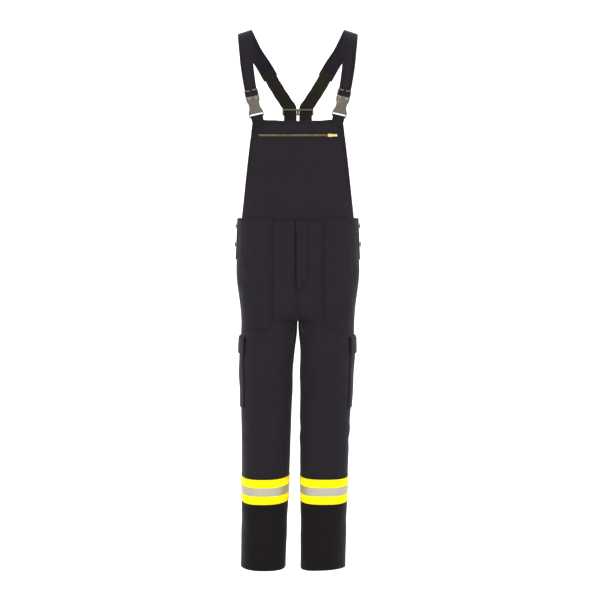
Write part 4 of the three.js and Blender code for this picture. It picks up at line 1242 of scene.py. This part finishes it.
    def build(self) -> None:
        """Makes every piece."""
        navy, hook = self.finishes.navy, self.finishes.hook
        for side in (LEFT, RIGHT):
            name = side_name(side)
            place_cloth(f"Front_pocket_{name}", self.front_pocket(side), navy, "navy_cloth")
            place_cloth(f"Rear_pocket_{name}", self.seat_pocket(side), navy, "navy_cloth",
                        stands_for=f"seat_pocket_{name}")
            place_cloth(f"Cargo_pocket_{name}", self.pouch(side), navy, "navy_cloth")
            flap = place_cloth(f"Cargo_flap_{name}", self.flap(side), navy, "navy_cloth",
                               body=None)
            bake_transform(flap)
            place_cloth(f"Flap_loop_{name}", self.fastener(side, self.loop_out), hook, "hook_and_loop")
            place_cloth(f"Flap_hook_{name}", self.fastener(side, self.hook_out), hook, "hook_and_loop",
                        body=f"cargo_flap_{name}")


@dataclass
class BarTacks:
    """The short dense rows of stitches that hold the ends of seams."""

    finishes: Finishes
    length: float = 11.0
    width: float = 2.2
    height: float = 0.45
    # rows of height, distance from the middle (None at the side seam), whether it is on the back,
    # height of the cloth under it, and whether it runs up the cloth
    tacks: tuple = ((1068, 149, False, 3.05, True), (882, 164, False, 2.25, True),
                    (996, 34, True, 2.25, False), (996, 144, True, 2.25, False),
                    (955, None, False, 3.05, False))
    fly_tacks: tuple = ((BAND_FOOT, 4, False, 5.55, False), (884, 8, False, 4.0, False))

    def tack(self, side: int, h: float, v: float, out: float, upright: bool) -> Sheet:
        """One bar tack: threads side by side, each a rounded cord, over a domed pad.

        Its height is 0.45 (1 - w^2) (0.6 + 0.4 |sin(pi s / 1.4)|), with s along it in millimetres and
        w across it from -1 to 1.

        Args:
            side: LEFT or RIGHT.
            h: height of its middle.
            v: its place round the body.
            out: height of the cloth under it.
            upright: whether it runs up the cloth.

        Returns:
            The pad.
        """
        s, w = np.linspace(-0.5, 0.5, 33) * self.length, np.linspace(-1, 1, 7)
        a, b = np.meshgrid(s, w)
        rise = self.height * (1 - b**2) * (0.6 + 0.4 * np.abs(np.sin(np.pi * a / 1.4)))
        up, round_ = (a, b * self.width / 2) if upright else (b * self.width / 2, a)
        heights, places = h + up, v + round_ / HALF_GIRTH
        return Sheet(SHAPE.skin(heights, places, out + rise, side),
                     SHAPE.skin(heights, places, out - 0.1, side))

    def build(self) -> None:
        """Makes all the tacks of a side as one piece."""
        for side in (LEFT, RIGHT):
            shape = bmesh.new()
            for h, x, back, out, upright in self.tacks + (self.fly_tacks if side == LEFT else ()):
                v = 0.0
                if x is not None:
                    v = float(SHAPE.place_at_x(np.array([[h]]), np.array([[x]]), back)[0, 0])
                shape.from_mesh(self.tack(side, h, v, out, upright).mesh("tack"))
            mesh = bpy.data.meshes.new("Bar_tacks")
            shape.to_mesh(mesh)
            shape.free()
            shade(mesh)
            place(f"Bar_tacks_{side_name(side)}", mesh, self.finishes.thread, "navy_cloth")


@dataclass
class Bands:
    """The fluorescent bands round the lower legs, each with a reflective stripe."""

    finishes: Finishes
    foot: float = 212.0
    height: float = 76.0
    stripe: float = 26.0

    def ring(self, side: int, low: float, high: float, out: float, thick: float, rows: int) -> Sheet:
        """A strip sewn all the way round a leg; in front it dips by up to 6.4 mm.

        Args:
            side: LEFT or RIGHT.
            low: height of its lower edge.
            high: height of its upper edge.
            out: height of its inner face above the leg.
            thick: its thickness.
            rows: how many rows its grid has.

        Returns:
            The sheet.
        """
        v = np.linspace(-1, 1, 121)[None, :-1]
        h = np.linspace(low, high, rows)
        ease = 0.25 * np.sin(2 * np.pi * v * 30) * (1 - rim_ease(np.minimum(h - low, high - h), 6))[:, None]
        made = body_sheet(side, h, v, out + ease, thick, ring=True, stitched="bt")
        dip = 4.4 * (1 - np.sin(np.pi * v)) - 2.4
        for face in (made.outer, made.inner):
            face[..., 2] -= dip
        return made

    def build(self) -> None:
        """Makes every piece."""
        inset = (self.height - self.stripe) / 2
        for side in (LEFT, RIGHT):
            name = side_name(side)
            band = self.ring(side, self.foot, self.foot + self.height, 0.6, 0.9, 24)
            place_cloth(f"Hi_vis_band_{name}", band, self.finishes.yellow, "yellow_tape")
            stripe = self.ring(side, self.foot + inset, self.foot + inset + self.stripe, 1.8, 0.5, 10)
            place_cloth(f"Silver_stripe_{name}", stripe, self.finishes.silver, "silver_tape")


@dataclass
class Bib:
    """The bib with its zipped pocket, its facing and pocket bag, and the raised back panel."""

    finishes: Finishes
    base_half: float = 170.0       # half its width at the waist
    top_half: float = 133.0
    sag: float = 6.0               # dip of its top edge
    slot_x: tuple[float, float] = (-117.0, 119.0)
    slot_half: float = 4.6         # half the height of the cut for the zip
    facing_half: float = 92.0
    bag_half: float = 127.0
    bag_foot: float = 1167.0
    bag_head: float = 1344.0
    lining: float = 1.2            # thickness of the facing and the bag
    slot_columns: int = 92

    def half(self, h: Array) -> Array:
        """Half the bib's width at a height."""
        return self.base_half + (self.top_half - self.base_half) * (h - WAIST) / (BIB_HEAD - WAIST)

    def ripple(self, x: Array, h: Array) -> Array:
        """How far the bib's cloth swells: long soft waves, and puckers along the top and the zip.

        Args:
            x: distances from the middle plane.
            h: heights.

        Returns:
            The swell, in millimetres.
        """
        wave = 1.1 * np.sin(x / 41 + 0.8) * np.sin((h - WAIST) / 74) + 0.6 * np.sin(x / 23 + h / 60)
        top = 0.7 * np.sin(x / 2.6) * np.exp(-np.abs(BIB_HEAD - 2 - h) / 7)
        top = top + 0.5 * np.sin(x / 3.1) * bump(h, BIB_HEAD - 20, 5)
        zip_ = 0.5 * np.sin(x / 3.4) * bump(np.abs(h - ZIP_LEVEL), 10, 5) * (np.abs(x) < 125)
        fade = smooth((h - WAIST - 3) / 50) * smooth((BIB_HEAD - h) / 14)
        return wave * fade * (1 - 0.7 * bump(h, ZIP_LEVEL, 18)) + top + zip_

    def panel(self) -> Sheet:
        """The bib, with the cut that its zip lies in; its top edge dips in the middle.

        Returns:
            The sheet: a trapezium whose middle columns line up with the cut.
        """
        near = np.array([-2.6, 0.0]) - self.slot_half
        h = np.concatenate([np.linspace(WAIST + 2 * GAP, ZIP_LEVEL - 10, 62), ZIP_LEVEL + near,
                            ZIP_LEVEL - near[::-1], np.linspace(ZIP_LEVEL + 10, BIB_HEAD, 16)])[:, None]
        inner = np.linspace(*self.slot_x, self.slot_columns)
        outward = np.linspace(0, 1, 13)[1:]
        half = self.half(h)
        left = self.slot_x[0] - (half + self.slot_x[0]) * outward[::-1]
        right = self.slot_x[1] + (half - self.slot_x[1]) * outward
        x = np.concatenate([left, np.repeat(inner[None, :], len(h), 0), right], 1)
        foot = ZIP_LEVEL - near[0]
        share = smooth((h - foot) / (BIB_HEAD - foot))
        drop = self.sag * (1 - (x / half) ** 2) * share + 0.5 * np.sin(x / 8.5) * np.exp(-(BIB_HEAD - h) / 4)
        faces = []
        for out in (0.0, -CLOTH):
            points = SHAPE.raised(False, x, h, out + self.ripple(x, h))
            points[..., 2] -= drop
            faces.append(points)
        keep = np.ones((x.shape[0] - 1, x.shape[1] - 1), bool)
        row = int(np.argmin(np.abs(h[:, 0] - ZIP_LEVEL + self.slot_half)))
        keep[row, len(outward):len(outward) + self.slot_columns - 1] = False
        made = Sheet(*faces, stitched="set", keep=keep)
        past_ends = np.maximum(self.slot_x[0] - x, x - self.slot_x[1])
        round_slot = np.maximum(np.abs(h - ZIP_LEVEL) - self.slot_half, past_ends)
        made.edge_v = np.minimum(made.edge_v, np.where(round_slot < 30, np.abs(round_slot), FAR))
        return made

    def facing(self) -> Sheet:
        """The strip sewn inside the top edge.

        Returns:
            The sheet.
        """
        x, h = np.meshgrid(np.linspace(-self.facing_half, self.facing_half, 60),
                           np.linspace(BIB_HEAD - 25, BIB_HEAD - 8, 7))
        faces = [SHAPE.raised(False, x, h, -CLOTH - 1.0 - lift) for lift in (0.0, self.lining)]
        return Sheet(*faces, stitched="bt")

    def bag(self) -> Sheet:
        """The pocket bag behind the zip, sewn to the bib round its rim.

        Returns:
            The sheet, which hangs up to 3.2 mm further back inside its rim.
        """
        x, h = np.meshgrid(np.linspace(-self.bag_half, self.bag_half, 52),
                           np.linspace(self.bag_foot, self.bag_head, 44))
        to_rim = np.minimum(self.bag_half - np.abs(x), np.minimum(h - self.bag_foot, self.bag_head - h))
        set_back = 3.0 + 3.2 * rim_ease(to_rim, 10) + 0.6 * np.sin(x / 30 + h / 37) * smooth(to_rim / 40)
        out = self.ripple(x, h) * (to_rim < 4) - set_back
        faces = [SHAPE.raised(False, x, h, out - lift) for lift in (0.0, self.lining)]
        return Sheet(*faces, stitched="sebt")

    def back_panel(self) -> Sheet:
        """The panel that rises behind the waist to where the elastics are sewn.

        Returns:
            The sheet: a trapezium, with a swell of 0.9 mm across it.
        """
        foot_half, head_half, rise = 160, 62, 165
        h = np.linspace(WAIST + 2 * GAP, WAIST + rise, 44)[:, None]
        t = np.linspace(-1, 1, 80)[None, :]
        x = t * (foot_half + (head_half - foot_half) * (h - WAIST) / rise)
        swell = 0.9 * np.sin(x / 30) * np.sin((h - WAIST) / 55)
        faces = [SHAPE.raised(True, x, h, out + swell) for out in (0.0, -CLOTH)]
        return Sheet(*faces, stitched="set")

    def build(self) -> None:
        """Makes every piece."""
        navy, lining = self.finishes.navy, self.finishes.lining
        place_cloth("Bib_panel", self.panel(), navy, "navy_cloth")
        place_cloth("Bib_facing", self.facing(), lining, "lining_cloth")
        place_cloth("Bib_pocket_bag", self.bag(), lining, "lining_cloth")
        place_cloth("Back_panel", self.back_panel(), navy, "navy_cloth")


@dataclass
class Zip:
    """A zip: two tapes, two rows of stamped teeth, and a slider with its pull.

    Drawn along X with the cloth's face at Y = 0 and the middle of the chain at Z = 0.
    """

    finishes: Finishes
    prefix: str
    span: tuple[float, float]
    chain: tuple[float, float]
    nodes: tuple[str, str]          # the two rows of teeth, +Z first
    bodies: tuple[str, str]         # of the slider and of the pull
    to_place: Callable[[Array], Array]
    sewn_to: str
    pitch: float = 2.9
    depth: float = 2.6              # of the teeth's middle behind the cloth's face
    # rows of a tooth's height from the middle of the chain, half width and half depth
    tooth: tuple = ((0.65, 0.42, 0.75), (1.1, 0.66, 1.0), (1.6, 0.62, 1.05), (2.15, 0.66, 1.15))

    def tape(self) -> Sheet:
        """Both tapes, joined past the ends of the chain, with a cord along each inner edge.

        Returns:
            The sheet, 0.8 mm thick and thicker by 0.5 exp(-(d / 0.5)^2) at the cords.
        """
        first, last = self.span
        x = np.concatenate([[first], np.linspace(first + 3, last - 3, 60), [last]])
        half = np.array([3.0, 3.6, 5.5, 8, 11, 14])
        z = np.concatenate([-half[::-1], [0.0], half])
        x, z = np.meshgrid(x, z)
        cord = 0.25 * bump(np.abs(z), 3.3, 0.5)
        faces = [self.to_place(np.stack([x, y + sign * cord, z], -1)) for y, sign in ((2.2, -1), (3.0, 1))]
        keep = np.ones((12, x.shape[1] - 1), bool)
        keep[5:7, 1:-1] = False
        return Sheet(*faces, keep=keep)

    def teeth(self, up: int) -> bpy.types.Mesh:
        """One row of teeth: each a rounded block that narrows to its head, 26 faces.

        Args:
            up: +1 for the row above the middle, -1 for the other.

        Returns:
            The mesh of the whole row.
        """
        start = self.chain[0] + (0.6 if up > 0 else 0.6 + self.pitch / 2)
        xs = np.arange(start, self.chain[1] - 1.4, self.pitch)
        ring = []
        for z, wide, deep in self.tooth:
            corner = np.array([[-wide, -deep * 0.7, z], [-wide * 0.5, -deep, z]])
            front = np.concatenate([corner, corner[::-1] * [-1, 1, 1]])
            ring.append(np.concatenate([front, front[::-1] * [1, -1, 1]]))
        tooth = np.concatenate(ring) * [1, 1, up] + [0, self.depth, 0]
        count = len(tooth)
        faces = [tuple(range(8)), tuple(range(count - 1, count - 9, -1))]
        for level in range(0, count - 8, 8):
            steps = [(level + k, level + (k + 1) % 8) for k in range(8)]
            faces += [(b, a, a + 8, b + 8) for a, b in steps]
        points = (tooth[None] + np.stack([xs, 0 * xs, 0 * xs], 1)[:, None]).reshape(-1, 3)
        every = [tuple(i + count * k for i in f) for k in range(len(xs)) for f in faces]
        return hard_mesh("teeth", self.to_place(points), every)

    def build(self) -> None:
        """Makes every piece."""
        place_cloth(f"{self.prefix}_tape", self.tape(), self.finishes.tape, "zip_tape")
        for up, node_name in ((1, self.nodes[0]), (-1, self.nodes[1])):
            place(node_name.capitalize(), self.teeth(up), self.finishes.brass, "brass", [node_name])
        from_cad(f"{self.prefix}_slider", self.finishes.brass, "brass", self.bodies[0], 0.35)
        from_cad(f"{self.prefix}_pull", self.finishes.brass, "brass", self.bodies[1], 0.3)


@dataclass
class Braces:
    """The sewn tabs, the shoulder straps, the elastics at the back and their cross piece."""

    finishes: Finishes
    tilt: float = math.radians(13)      # of a buckle, outwards
    webbing: float = 35.0               # width of a strap at its buckle
    shoulder: float = 46.0              # width of a strap at its end
    strap_thick: float = 2.2
    elastic_width: float = 39.0
    elastic_thick: float = 1.7
    foot: tuple[float, float, float] = (121.0, BIB_FACE, 1377.0)     # of a buckle
    # x, y and height, and the roll in degrees
    run: tuple = ((146, BIB_FACE, 1495, 0), (151, -116, 1531, 2), (155, -97, 1574, 6), (159, -67, 1613, 12),
                  (161, -35, 1635, 17), (161, -4, 1642, 18), (158, 26, 1638, 16), (149, 54, 1620, 10),
                  (132, 83, 1588, 4), (108, 104, 1553, 0), (85, 115, 1514, 0))
    elastic_run: tuple = ((57, 117.7, 1468), (33, 119.3, 1432), (24.3, 119.3, 1419),
                          (24.3, 119.3, 1409), (24.3, 119.3, 1307), (24.3, 119.3, 1196))

    def on_buckle(self, points: Array) -> Array:
        """Upright buckle coordinates to the garment, for the wearer's left.

        Args:
            points: points from the buckle's foot, in millimetres.

        Returns:
            The same points above the hem.
        """
        c, s = math.cos(self.tilt), math.sin(self.tilt)
        x, y, z = np.moveaxis(np.asarray(points, float), -1, 0)
        return np.stack([x * c + z * s, y, z * c - x * s], -1) + self.foot

    def level(self, count: int) -> Array:
        """The direction across a buckle, once for each of a number of points."""
        return np.tile([math.cos(self.tilt), 0, -math.sin(self.tilt)], (count, 1))

    @staticmethod
    def half_turn(y: float, z: float, radius: float, up: int) -> list[tuple[float, float, float, float]]:
        """A half turn of strap round a bar, from the front ply to the back ply.

        Args:
            y: how far back the bar lies.
            z: its height.
            radius: from the bar's middle to the strap's.
            up: +1 to pass over the bar, -1 to pass under it.

        Returns:
            Points of the turn, in buckle coordinates, each with no roll.
        """
        return [(0.0, y + radius * math.sin(a), z + up * radius * math.cos(a), 0.0)
                for a in np.linspace(-math.pi / 2, math.pi / 2, 9)]

    @staticmethod
    def curve(points: Array, step: float) -> tuple[Array, Array, Array]:
        """A cubic Hermite curve, with tangents weighted by the lengths of the spans on either side.

        Args:
            points: the points that it goes through.
            step: largest spacing of its rows.

        Returns:
            The points' lengths along the curve, the rows' lengths and the rows' points.
        """
        spans = np.linalg.norm(np.diff(points, axis=0), axis=1)
        knots = np.concatenate([[0], np.cumsum(spans)])
        slopes = np.diff(points, axis=0) / spans[:, None]
        inner = slopes[1:] * spans[:-1, None] + slopes[:-1] * spans[1:, None]
        tangents = np.concatenate([slopes[:1], inner / (spans[1:] + spans[:-1])[:, None], slopes[-1:]])
        length = np.concatenate([np.linspace(a, b, max(2, int((b - a) / min(step, (b - a) / 2))) + 1)[:-1]
                                 for a, b in zip(knots[:-1], knots[1:])] + [knots[-1:]])
        i = np.clip(np.searchsorted(knots, length, side="right") - 1, 0, len(spans) - 1)
        t, d = ((length - knots[i]) / spans[i])[:, None], spans[i][:, None]
        line = ((2 * t**3 - 3 * t**2 + 1) * points[i] + (t**3 - 2 * t**2 + t) * d * tangents[i]
                + (3 * t**2 - 2 * t**3) * points[i + 1] + (t**3 - t**2) * d * tangents[i + 1])
        return knots, length, line

    def strap(self, side: int, points: Array, rolls: Array, widths: Array, hints: Array, thick: float,
              step: float, cord: float = 0.0) -> Sheet:
        """A strap swept along a curve.

        It lies along its hint, and rolls about the curve. Its thickness is t (1 - 0.35 |2w|^8),
        with w across it from -1/2 to 1/2.

        Args:
            side: LEFT or RIGHT.
            points: the curve's points.
            rolls: in degrees, one for each point.
            widths: one for each point.
            hints: the direction across the strap at each point.
            thick: its thickness.
            step: spacing of its rows.
            cord: height of the cords that run across it, every 4 mm.

        Returns:
            The sheet.
        """
        knots, length, line = self.curve(points, step)
        along = np.gradient(line, length, axis=0)
        along /= np.linalg.norm(along, axis=1)[:, None]
        hint = np.stack([np.interp(length, knots, hints[:, k]) for k in range(3)], 1)
        across = hint - (hint * along).sum(1)[:, None] * along
        across /= np.linalg.norm(across, axis=1)[:, None]
        normal = np.cross(along, across)
        roll = np.radians(np.interp(length, knots, rolls))[:, None]
        across, normal = (across * np.cos(roll) + normal * np.sin(roll),
                          normal * np.cos(roll) - across * np.sin(roll))
        width = np.interp(length, knots, widths)[:, None, None]
        w = np.linspace(-0.5, 0.5, 17)[None, :, None]
        swell = (1 - 0.35 * np.abs(2 * w) ** 8) * thick / 2
        swell = swell + cord * np.sin(2 * np.pi * length / 4.0)[:, None, None] * (1 - np.abs(2 * w) ** 8)
        wave = 0.4 * np.sin(length / 5.5)[:, None, None] * (2 * w) ** 6 if cord else 0.0
        base = line[:, None, :] + across[:, None, :] * (w * width + wave)
        faces = []
        for sign in (1, -1):
            points_ = base + sign * normal[:, None, :] * swell
            points_[..., 0] *= side
            faces.append(points_)
        return Sheet(*faces, stitched="se")

    def tab(self, side: int) -> Sheet:
        """The sewn loop that holds a buckle to the bib.

        Args:
            side: LEFT or RIGHT.

        Returns:
            The sheet, with a row of stitches 8 mm above and below its middle.
        """
        turn = self.half_turn(0.9, 4.6, 2.05, 1)
        local = np.array([(0, turn[0][1], -29, 0), (0, turn[0][1], -12, 0), *turn, (0, turn[-1][1], -8, 0),
                          (0, turn[-1][1], -20, 0)])
        points = self.on_buckle(local[:, :3])
        made = self.strap(side, points, local[:, 3], np.full(len(points), self.webbing),
                          self.level(len(points)), 1.5, 2.0)
        made.edge_v = np.abs(np.abs(made.outer[..., 2] - 1358) - 8.0)
        return made

    def brace(self, side: int) -> Sheet:
        """A shoulder strap: from its end, round the middle bar, behind the upper one, over the shoulder.

        Args:
            side: LEFT or RIGHT.

        Returns:
            The sheet, with two rows of stitches where the elastic is sewn in.
        """
        turn = self.half_turn(-1.3, 66.3, 2.45, -1)[::-1]
        local = np.array([(0, 3.5, 91.4, 0), (0, 3.5, 80.5, 0), (0, 1.6, 73, 0), *turn, (0, -3.6, 71.5, 0),
                          (0, 1.05, 79.2, 0), (0, 1.05, 84.5, 0)])
        start = np.concatenate([self.on_buckle(local[:, :3]), np.zeros((len(local), 1))], 1)
        run = np.concatenate([start, np.array(self.run, float)])
        count, over = len(start), len(self.run)
        widths = np.concatenate([np.full(count, self.webbing),
                                 np.interp(np.linspace(0, 1, over), [0, 0.5, 1], [36.3, 43, self.shoulder])])
        hints = np.concatenate([self.level(count), np.tile([1.0, 0, 0], (over, 1))])
        made = self.strap(side, run[:, :3], run[:, 3], widths, hints, self.strap_thick, 3.5)
        to_end = (made.uv[-1, 0, 1] - made.uv[..., 1]) / MM
        made.edge_v = np.minimum(np.abs(to_end - 3), np.abs(to_end - 16))
        return made

    def elastic(self, side: int) -> Sheet:
        """An elastic, from under the end of its brace down to the back panel.

        Args:
            side: LEFT or RIGHT.

        Returns:
            The sheet.
        """
        above, end = (np.array(p[:3], float) for p in self.run[-2:])
        lap = (above - end) / np.linalg.norm(above - end)
        inwards = np.array([0, -(self.strap_thick + self.elastic_thick) / 2 - 1, 0])
        run = np.array([*(p + inwards for p in (end + lap * 22, end, end - lap * 8)), *self.elastic_run])
        made = self.strap(side, run, np.zeros(len(run)), np.full(len(run), self.elastic_width),
                          np.tile([1.0, 0, 0], (len(run), 1)), self.elastic_thick, 1.0, cord=0.22)
        made.edge_u[:] = FAR
        return made

    def build(self) -> None:
        """Makes every piece."""
        for side in (LEFT, RIGHT):
            name = side_name(side)
            place_cloth(f"Strap_tab_{name}", self.tab(side), self.finishes.navy, "navy_cloth")
            place_cloth(f"Brace_strap_{name}", self.brace(side), self.finishes.navy, "navy_cloth")
            place_cloth(f"Elastic_strap_{name}", self.elastic(side), self.finishes.elastic, "elastic_webbing")
        from_cad("Back_cross_piece", self.finishes.olive, "dark_plastic", "back_cross_piece", 0.8)


@dataclass
class Buckles:
    """The side-release buckles: sockets, plugs and their latch arms."""

    finishes: Finishes
    face: float = -5.6                 # front of the socket
    bead: tuple[float, float, float] = (8.5, 12.0, 35.0)        # half width, half height and level
    ribs: tuple = ((15.0, 12.0), (17.2, 12.5), (51.0, 14.5), (53.2, 15.0))      # height and half width

    def relief(self, side: int, on_buckle: Callable[[Array], Array]) -> bpy.types.Mesh:
        """The moulded relief of a socket's face: an oval bead and four grip ribs.

        The bead is an elliptical ring with an oval section 1.3 wide; each rib is a capsule
        x = a sgn(cos p)|cos p|^0.3, z = 0.55 sin p, 0.55 high.

        Args:
            side: LEFT or RIGHT.
            on_buckle: turns upright buckle coordinates into the garment's, for the wearer's left.

        Returns:
            The mesh.
        """
        a, b = np.meshgrid(np.linspace(0, 2 * np.pi, 49)[:-1], np.linspace(0, 2 * np.pi, 11)[:-1],
                           indexing="ij")
        wide, tall, level = self.bead
        bead = np.stack([(wide + 0.65 * np.cos(b)) * np.cos(a), self.face - 0.5 * np.sin(b),
                         level + (tall + 0.65 * np.cos(b)) * np.sin(a)], -1)
        index = np.arange(bead[..., 0].size).reshape(bead.shape[:2])
        quads = np.stack([index, np.roll(index, -1, 0), np.roll(np.roll(index, -1, 0), -1, 1),
                          np.roll(index, -1, 1)], -1).reshape(-1, 4)
        points, faces = [bead.reshape(-1, 3)], [tuple(q) for q in quads.tolist()]
        p = np.linspace(0, 2 * np.pi, 17)[:-1]
        for z, half in self.ribs:
            rim = np.stack([half * BodyShape.power(np.cos(p), np.float64(0.3)), 0 * p, 0.55 * np.sin(p)], -1)
            rings = np.concatenate([rim * [1, 1, k] + [0, y, z] for k, y in
                                    ((1.0, self.face + 0.3), (1.0, self.face - 0.2), (0.6, self.face - 0.5))])
            start = sum(len(g) for g in points)
            points.append(rings)
            faces += [(start + r * 16 + k, start + r * 16 + (k + 1) % 16, start + r * 16 + 16 + (k + 1) % 16,
                       start + r * 16 + 16 + k) for r in range(2) for k in range(16)]
            faces += [tuple(start + k for k in range(16)), tuple(start + 32 + k for k in range(15, -1, -1))]
        mesh = hard_mesh("Buckle_relief", on_buckle(np.concatenate(points)) * [side, 1, 1], faces)
        shade(mesh, 40.0)
        return mesh

    def build(self) -> None:
        """Makes every piece."""
        on_buckle = Braces(self.finishes).on_buckle
        for side in (LEFT, RIGHT):
            name = side_name(side)
            place(f"Buckle_relief_{name}", self.relief(side, on_buckle), self.finishes.grey, "buckle_plastic")
            for part, bevel in (("socket", 0.9), ("plug", 0.7)):
                from_cad(f"Buckle_{part}_{name}", self.finishes.grey, "buckle_plastic", "garment", bevel)
            for which in ("outer", "inner"):
                from_cad(f"Latch_arm_{which}_{name}", self.finishes.grey,
                         "buckle_plastic", f"latch_arm_{which}_{name}", 0.5)


# ------------------------------------------------------------------ the studio
@dataclass
class Studio:
    """A pale floor and backdrop, soft lights and the camera."""

    eye: tuple[float, float, float] = (0.0065, -4.5, -0.537)
    target: tuple[float, float, float] = (0.0065, 0.0, -0.814)
    lens: float = 87.9
    floor: float = -1.72

    @staticmethod
    def paper() -> bpy.types.Material:
        """Makes seamless studio paper, lit from within so that it reads as white.

        Returns:
            The material.
        """
        made, tree, shader = start_material("Studio_paper")
        feed(tree, shader, {"Base Color": linear("#f4f4f4"), "Roughness": 1.0, "Specular IOR Level": 0.0,
                            "Emission Color": (1.0, 1.0, 1.0, 1.0), "Emission Strength": 0.35})
        return made

    def sweep(self) -> bpy.types.Object:
        """The paper: a floor that curves up behind into a wall, as one grid.

        Returns:
            The object.
        """
        angle = np.linspace(0, math.pi / 2, 16)
        y = np.concatenate([[-7.0, 3.0], 3.0 + 1.5 * np.sin(angle[1:]), [4.5]])
        z = np.concatenate([[0.0, 0.0], 1.5 - 1.5 * np.cos(angle[1:]), [6.0]]) + self.floor
        x = np.linspace(-7, 7, 9)
        points = np.stack(np.broadcast_arrays(x[None], y[:, None], z[:, None]), -1)
        index = np.arange(len(y) * 9).reshape(len(y), 9)
        quads = np.stack([index[:-1, :-1], index[:-1, 1:], index[1:, 1:], index[1:, :-1]], -1).reshape(-1, 4)
        mesh = bpy.data.meshes.new("Studio_sweep")
        mesh.from_pydata(points.reshape(-1, 3).tolist(), [], quads.tolist())
        shade(mesh)
        mesh.materials.append(self.paper())
        made = bpy.data.objects.new("Studio_sweep", mesh)
        bpy.context.scene.collection.objects.link(made)
        return made

    @staticmethod
    def lamp(name: str, where: Sequence[float], aim: Sequence[float], size: float,
             power: float) -> bpy.types.Object:
        """A square area light, aimed at a point.

        Args:
            name: the lamp's name.
            where: its place.
            aim: the point that it faces.
            size: the length of its side.
            power: in watts.

        Returns:
            The object.
        """
        light = bpy.data.lights.new(name, "AREA")
        light.shape, light.size, light.energy = "SQUARE", size, power
        made = bpy.data.objects.new(name, light)
        made.location = where
        direction = np.array(aim, float) - np.array(where, float)
        made.rotation_euler = [math.atan2(math.hypot(direction[0], direction[1]), -direction[2]), 0,
                               math.atan2(-direction[0], direction[1])]
        bpy.context.scene.collection.objects.link(made)
        return made

    def build(self) -> None:
        """Makes the stage, the world, the lights and the camera."""
        scene = bpy.context.scene
        self.sweep()
        world = bpy.data.worlds.new("Studio_world")
        world.use_nodes = True
        background = world.node_tree.nodes["Background"]
        background.inputs[0].default_value = (1.0, 1.0, 1.0, 1.0)
        background.inputs[1].default_value = 1.0
        scene.world = world
        aim = (0.0, 0.0, -0.8)
        self.lamp("Key", (-1.9, -3.2, 1.6), aim, 2.2, 62.0)
        self.lamp("Fill", (2.4, -3.0, 0.2), aim, 2.0, 34.0)
        self.lamp("Low", (0.0, -3.2, -1.2), aim, 1.6, 10.0)
        self.lamp("Back", (0.6, 3.0, 1.4), aim, 2.2, 45.0)
        camera = bpy.data.cameras.new("Camera")
        camera.lens, camera.sensor_width = self.lens, 36.0
        made = bpy.data.objects.new("Camera", camera)
        made.location = self.eye
        drop = math.atan2(self.eye[2] - self.target[2], self.target[1] - self.eye[1])
        made.rotation_euler = (math.pi / 2 - drop, 0, 0)
        scene.collection.objects.link(made)
        scene.camera = made
        scene.view_settings.view_transform = "Standard"
        scene.view_settings.look = "None"


def on_bib(points: Array) -> Array:
    """A zip's own coordinates to the bib's face."""
    return np.asarray(points, float) + [0, BIB_FACE, ZIP_LEVEL]


def on_fly(points: Array) -> Array:
    """A zip's own coordinates to the fly, with its X running down from the waist."""
    x, y, z = np.moveaxis(np.asarray(points, float), -1, 0)
    return np.stack([z, y + FLY_FACE, WAIST - x], -1)


def zips(finishes: Finishes) -> list[Zip]:
    """The bib's zip and the fly's.

    Args:
        finishes: the garment's finishes.

    Returns:
        The two zips.
    """
    return [Zip(finishes, "Bib_zip", (-120.0, 121.0), (-117.0, 116.0),
                ("bib_zip_teeth_upper", "bib_zip_teeth_lower"), ("bib_zip_slider", "bib_zip_pull"), on_bib,
                "Bib_panel"),
            Zip(finishes, "Fly_zip", (2.0, 192.0), (5.0, 188.0),
                ("fly_zip_teeth_left", "fly_zip_teeth_right"), ("fly_zip", "fly_zip"), on_fly,
                "Leg_front_left")]


def main() -> None:
    """Builds the garment and its studio."""
    logging.basicConfig(level=logging.INFO, format="%(message)s")
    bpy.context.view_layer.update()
    finishes = Finishes()
    parts = [Trousers(finishes), Pockets(finishes), BarTacks(finishes), Bands(finishes), Bib(finishes),
             *zips(finishes), Braces(finishes), Buckles(finishes)]
    for part in parts:
        part.build()
    Studio().build()


if __name__ == "__main__":
    main()
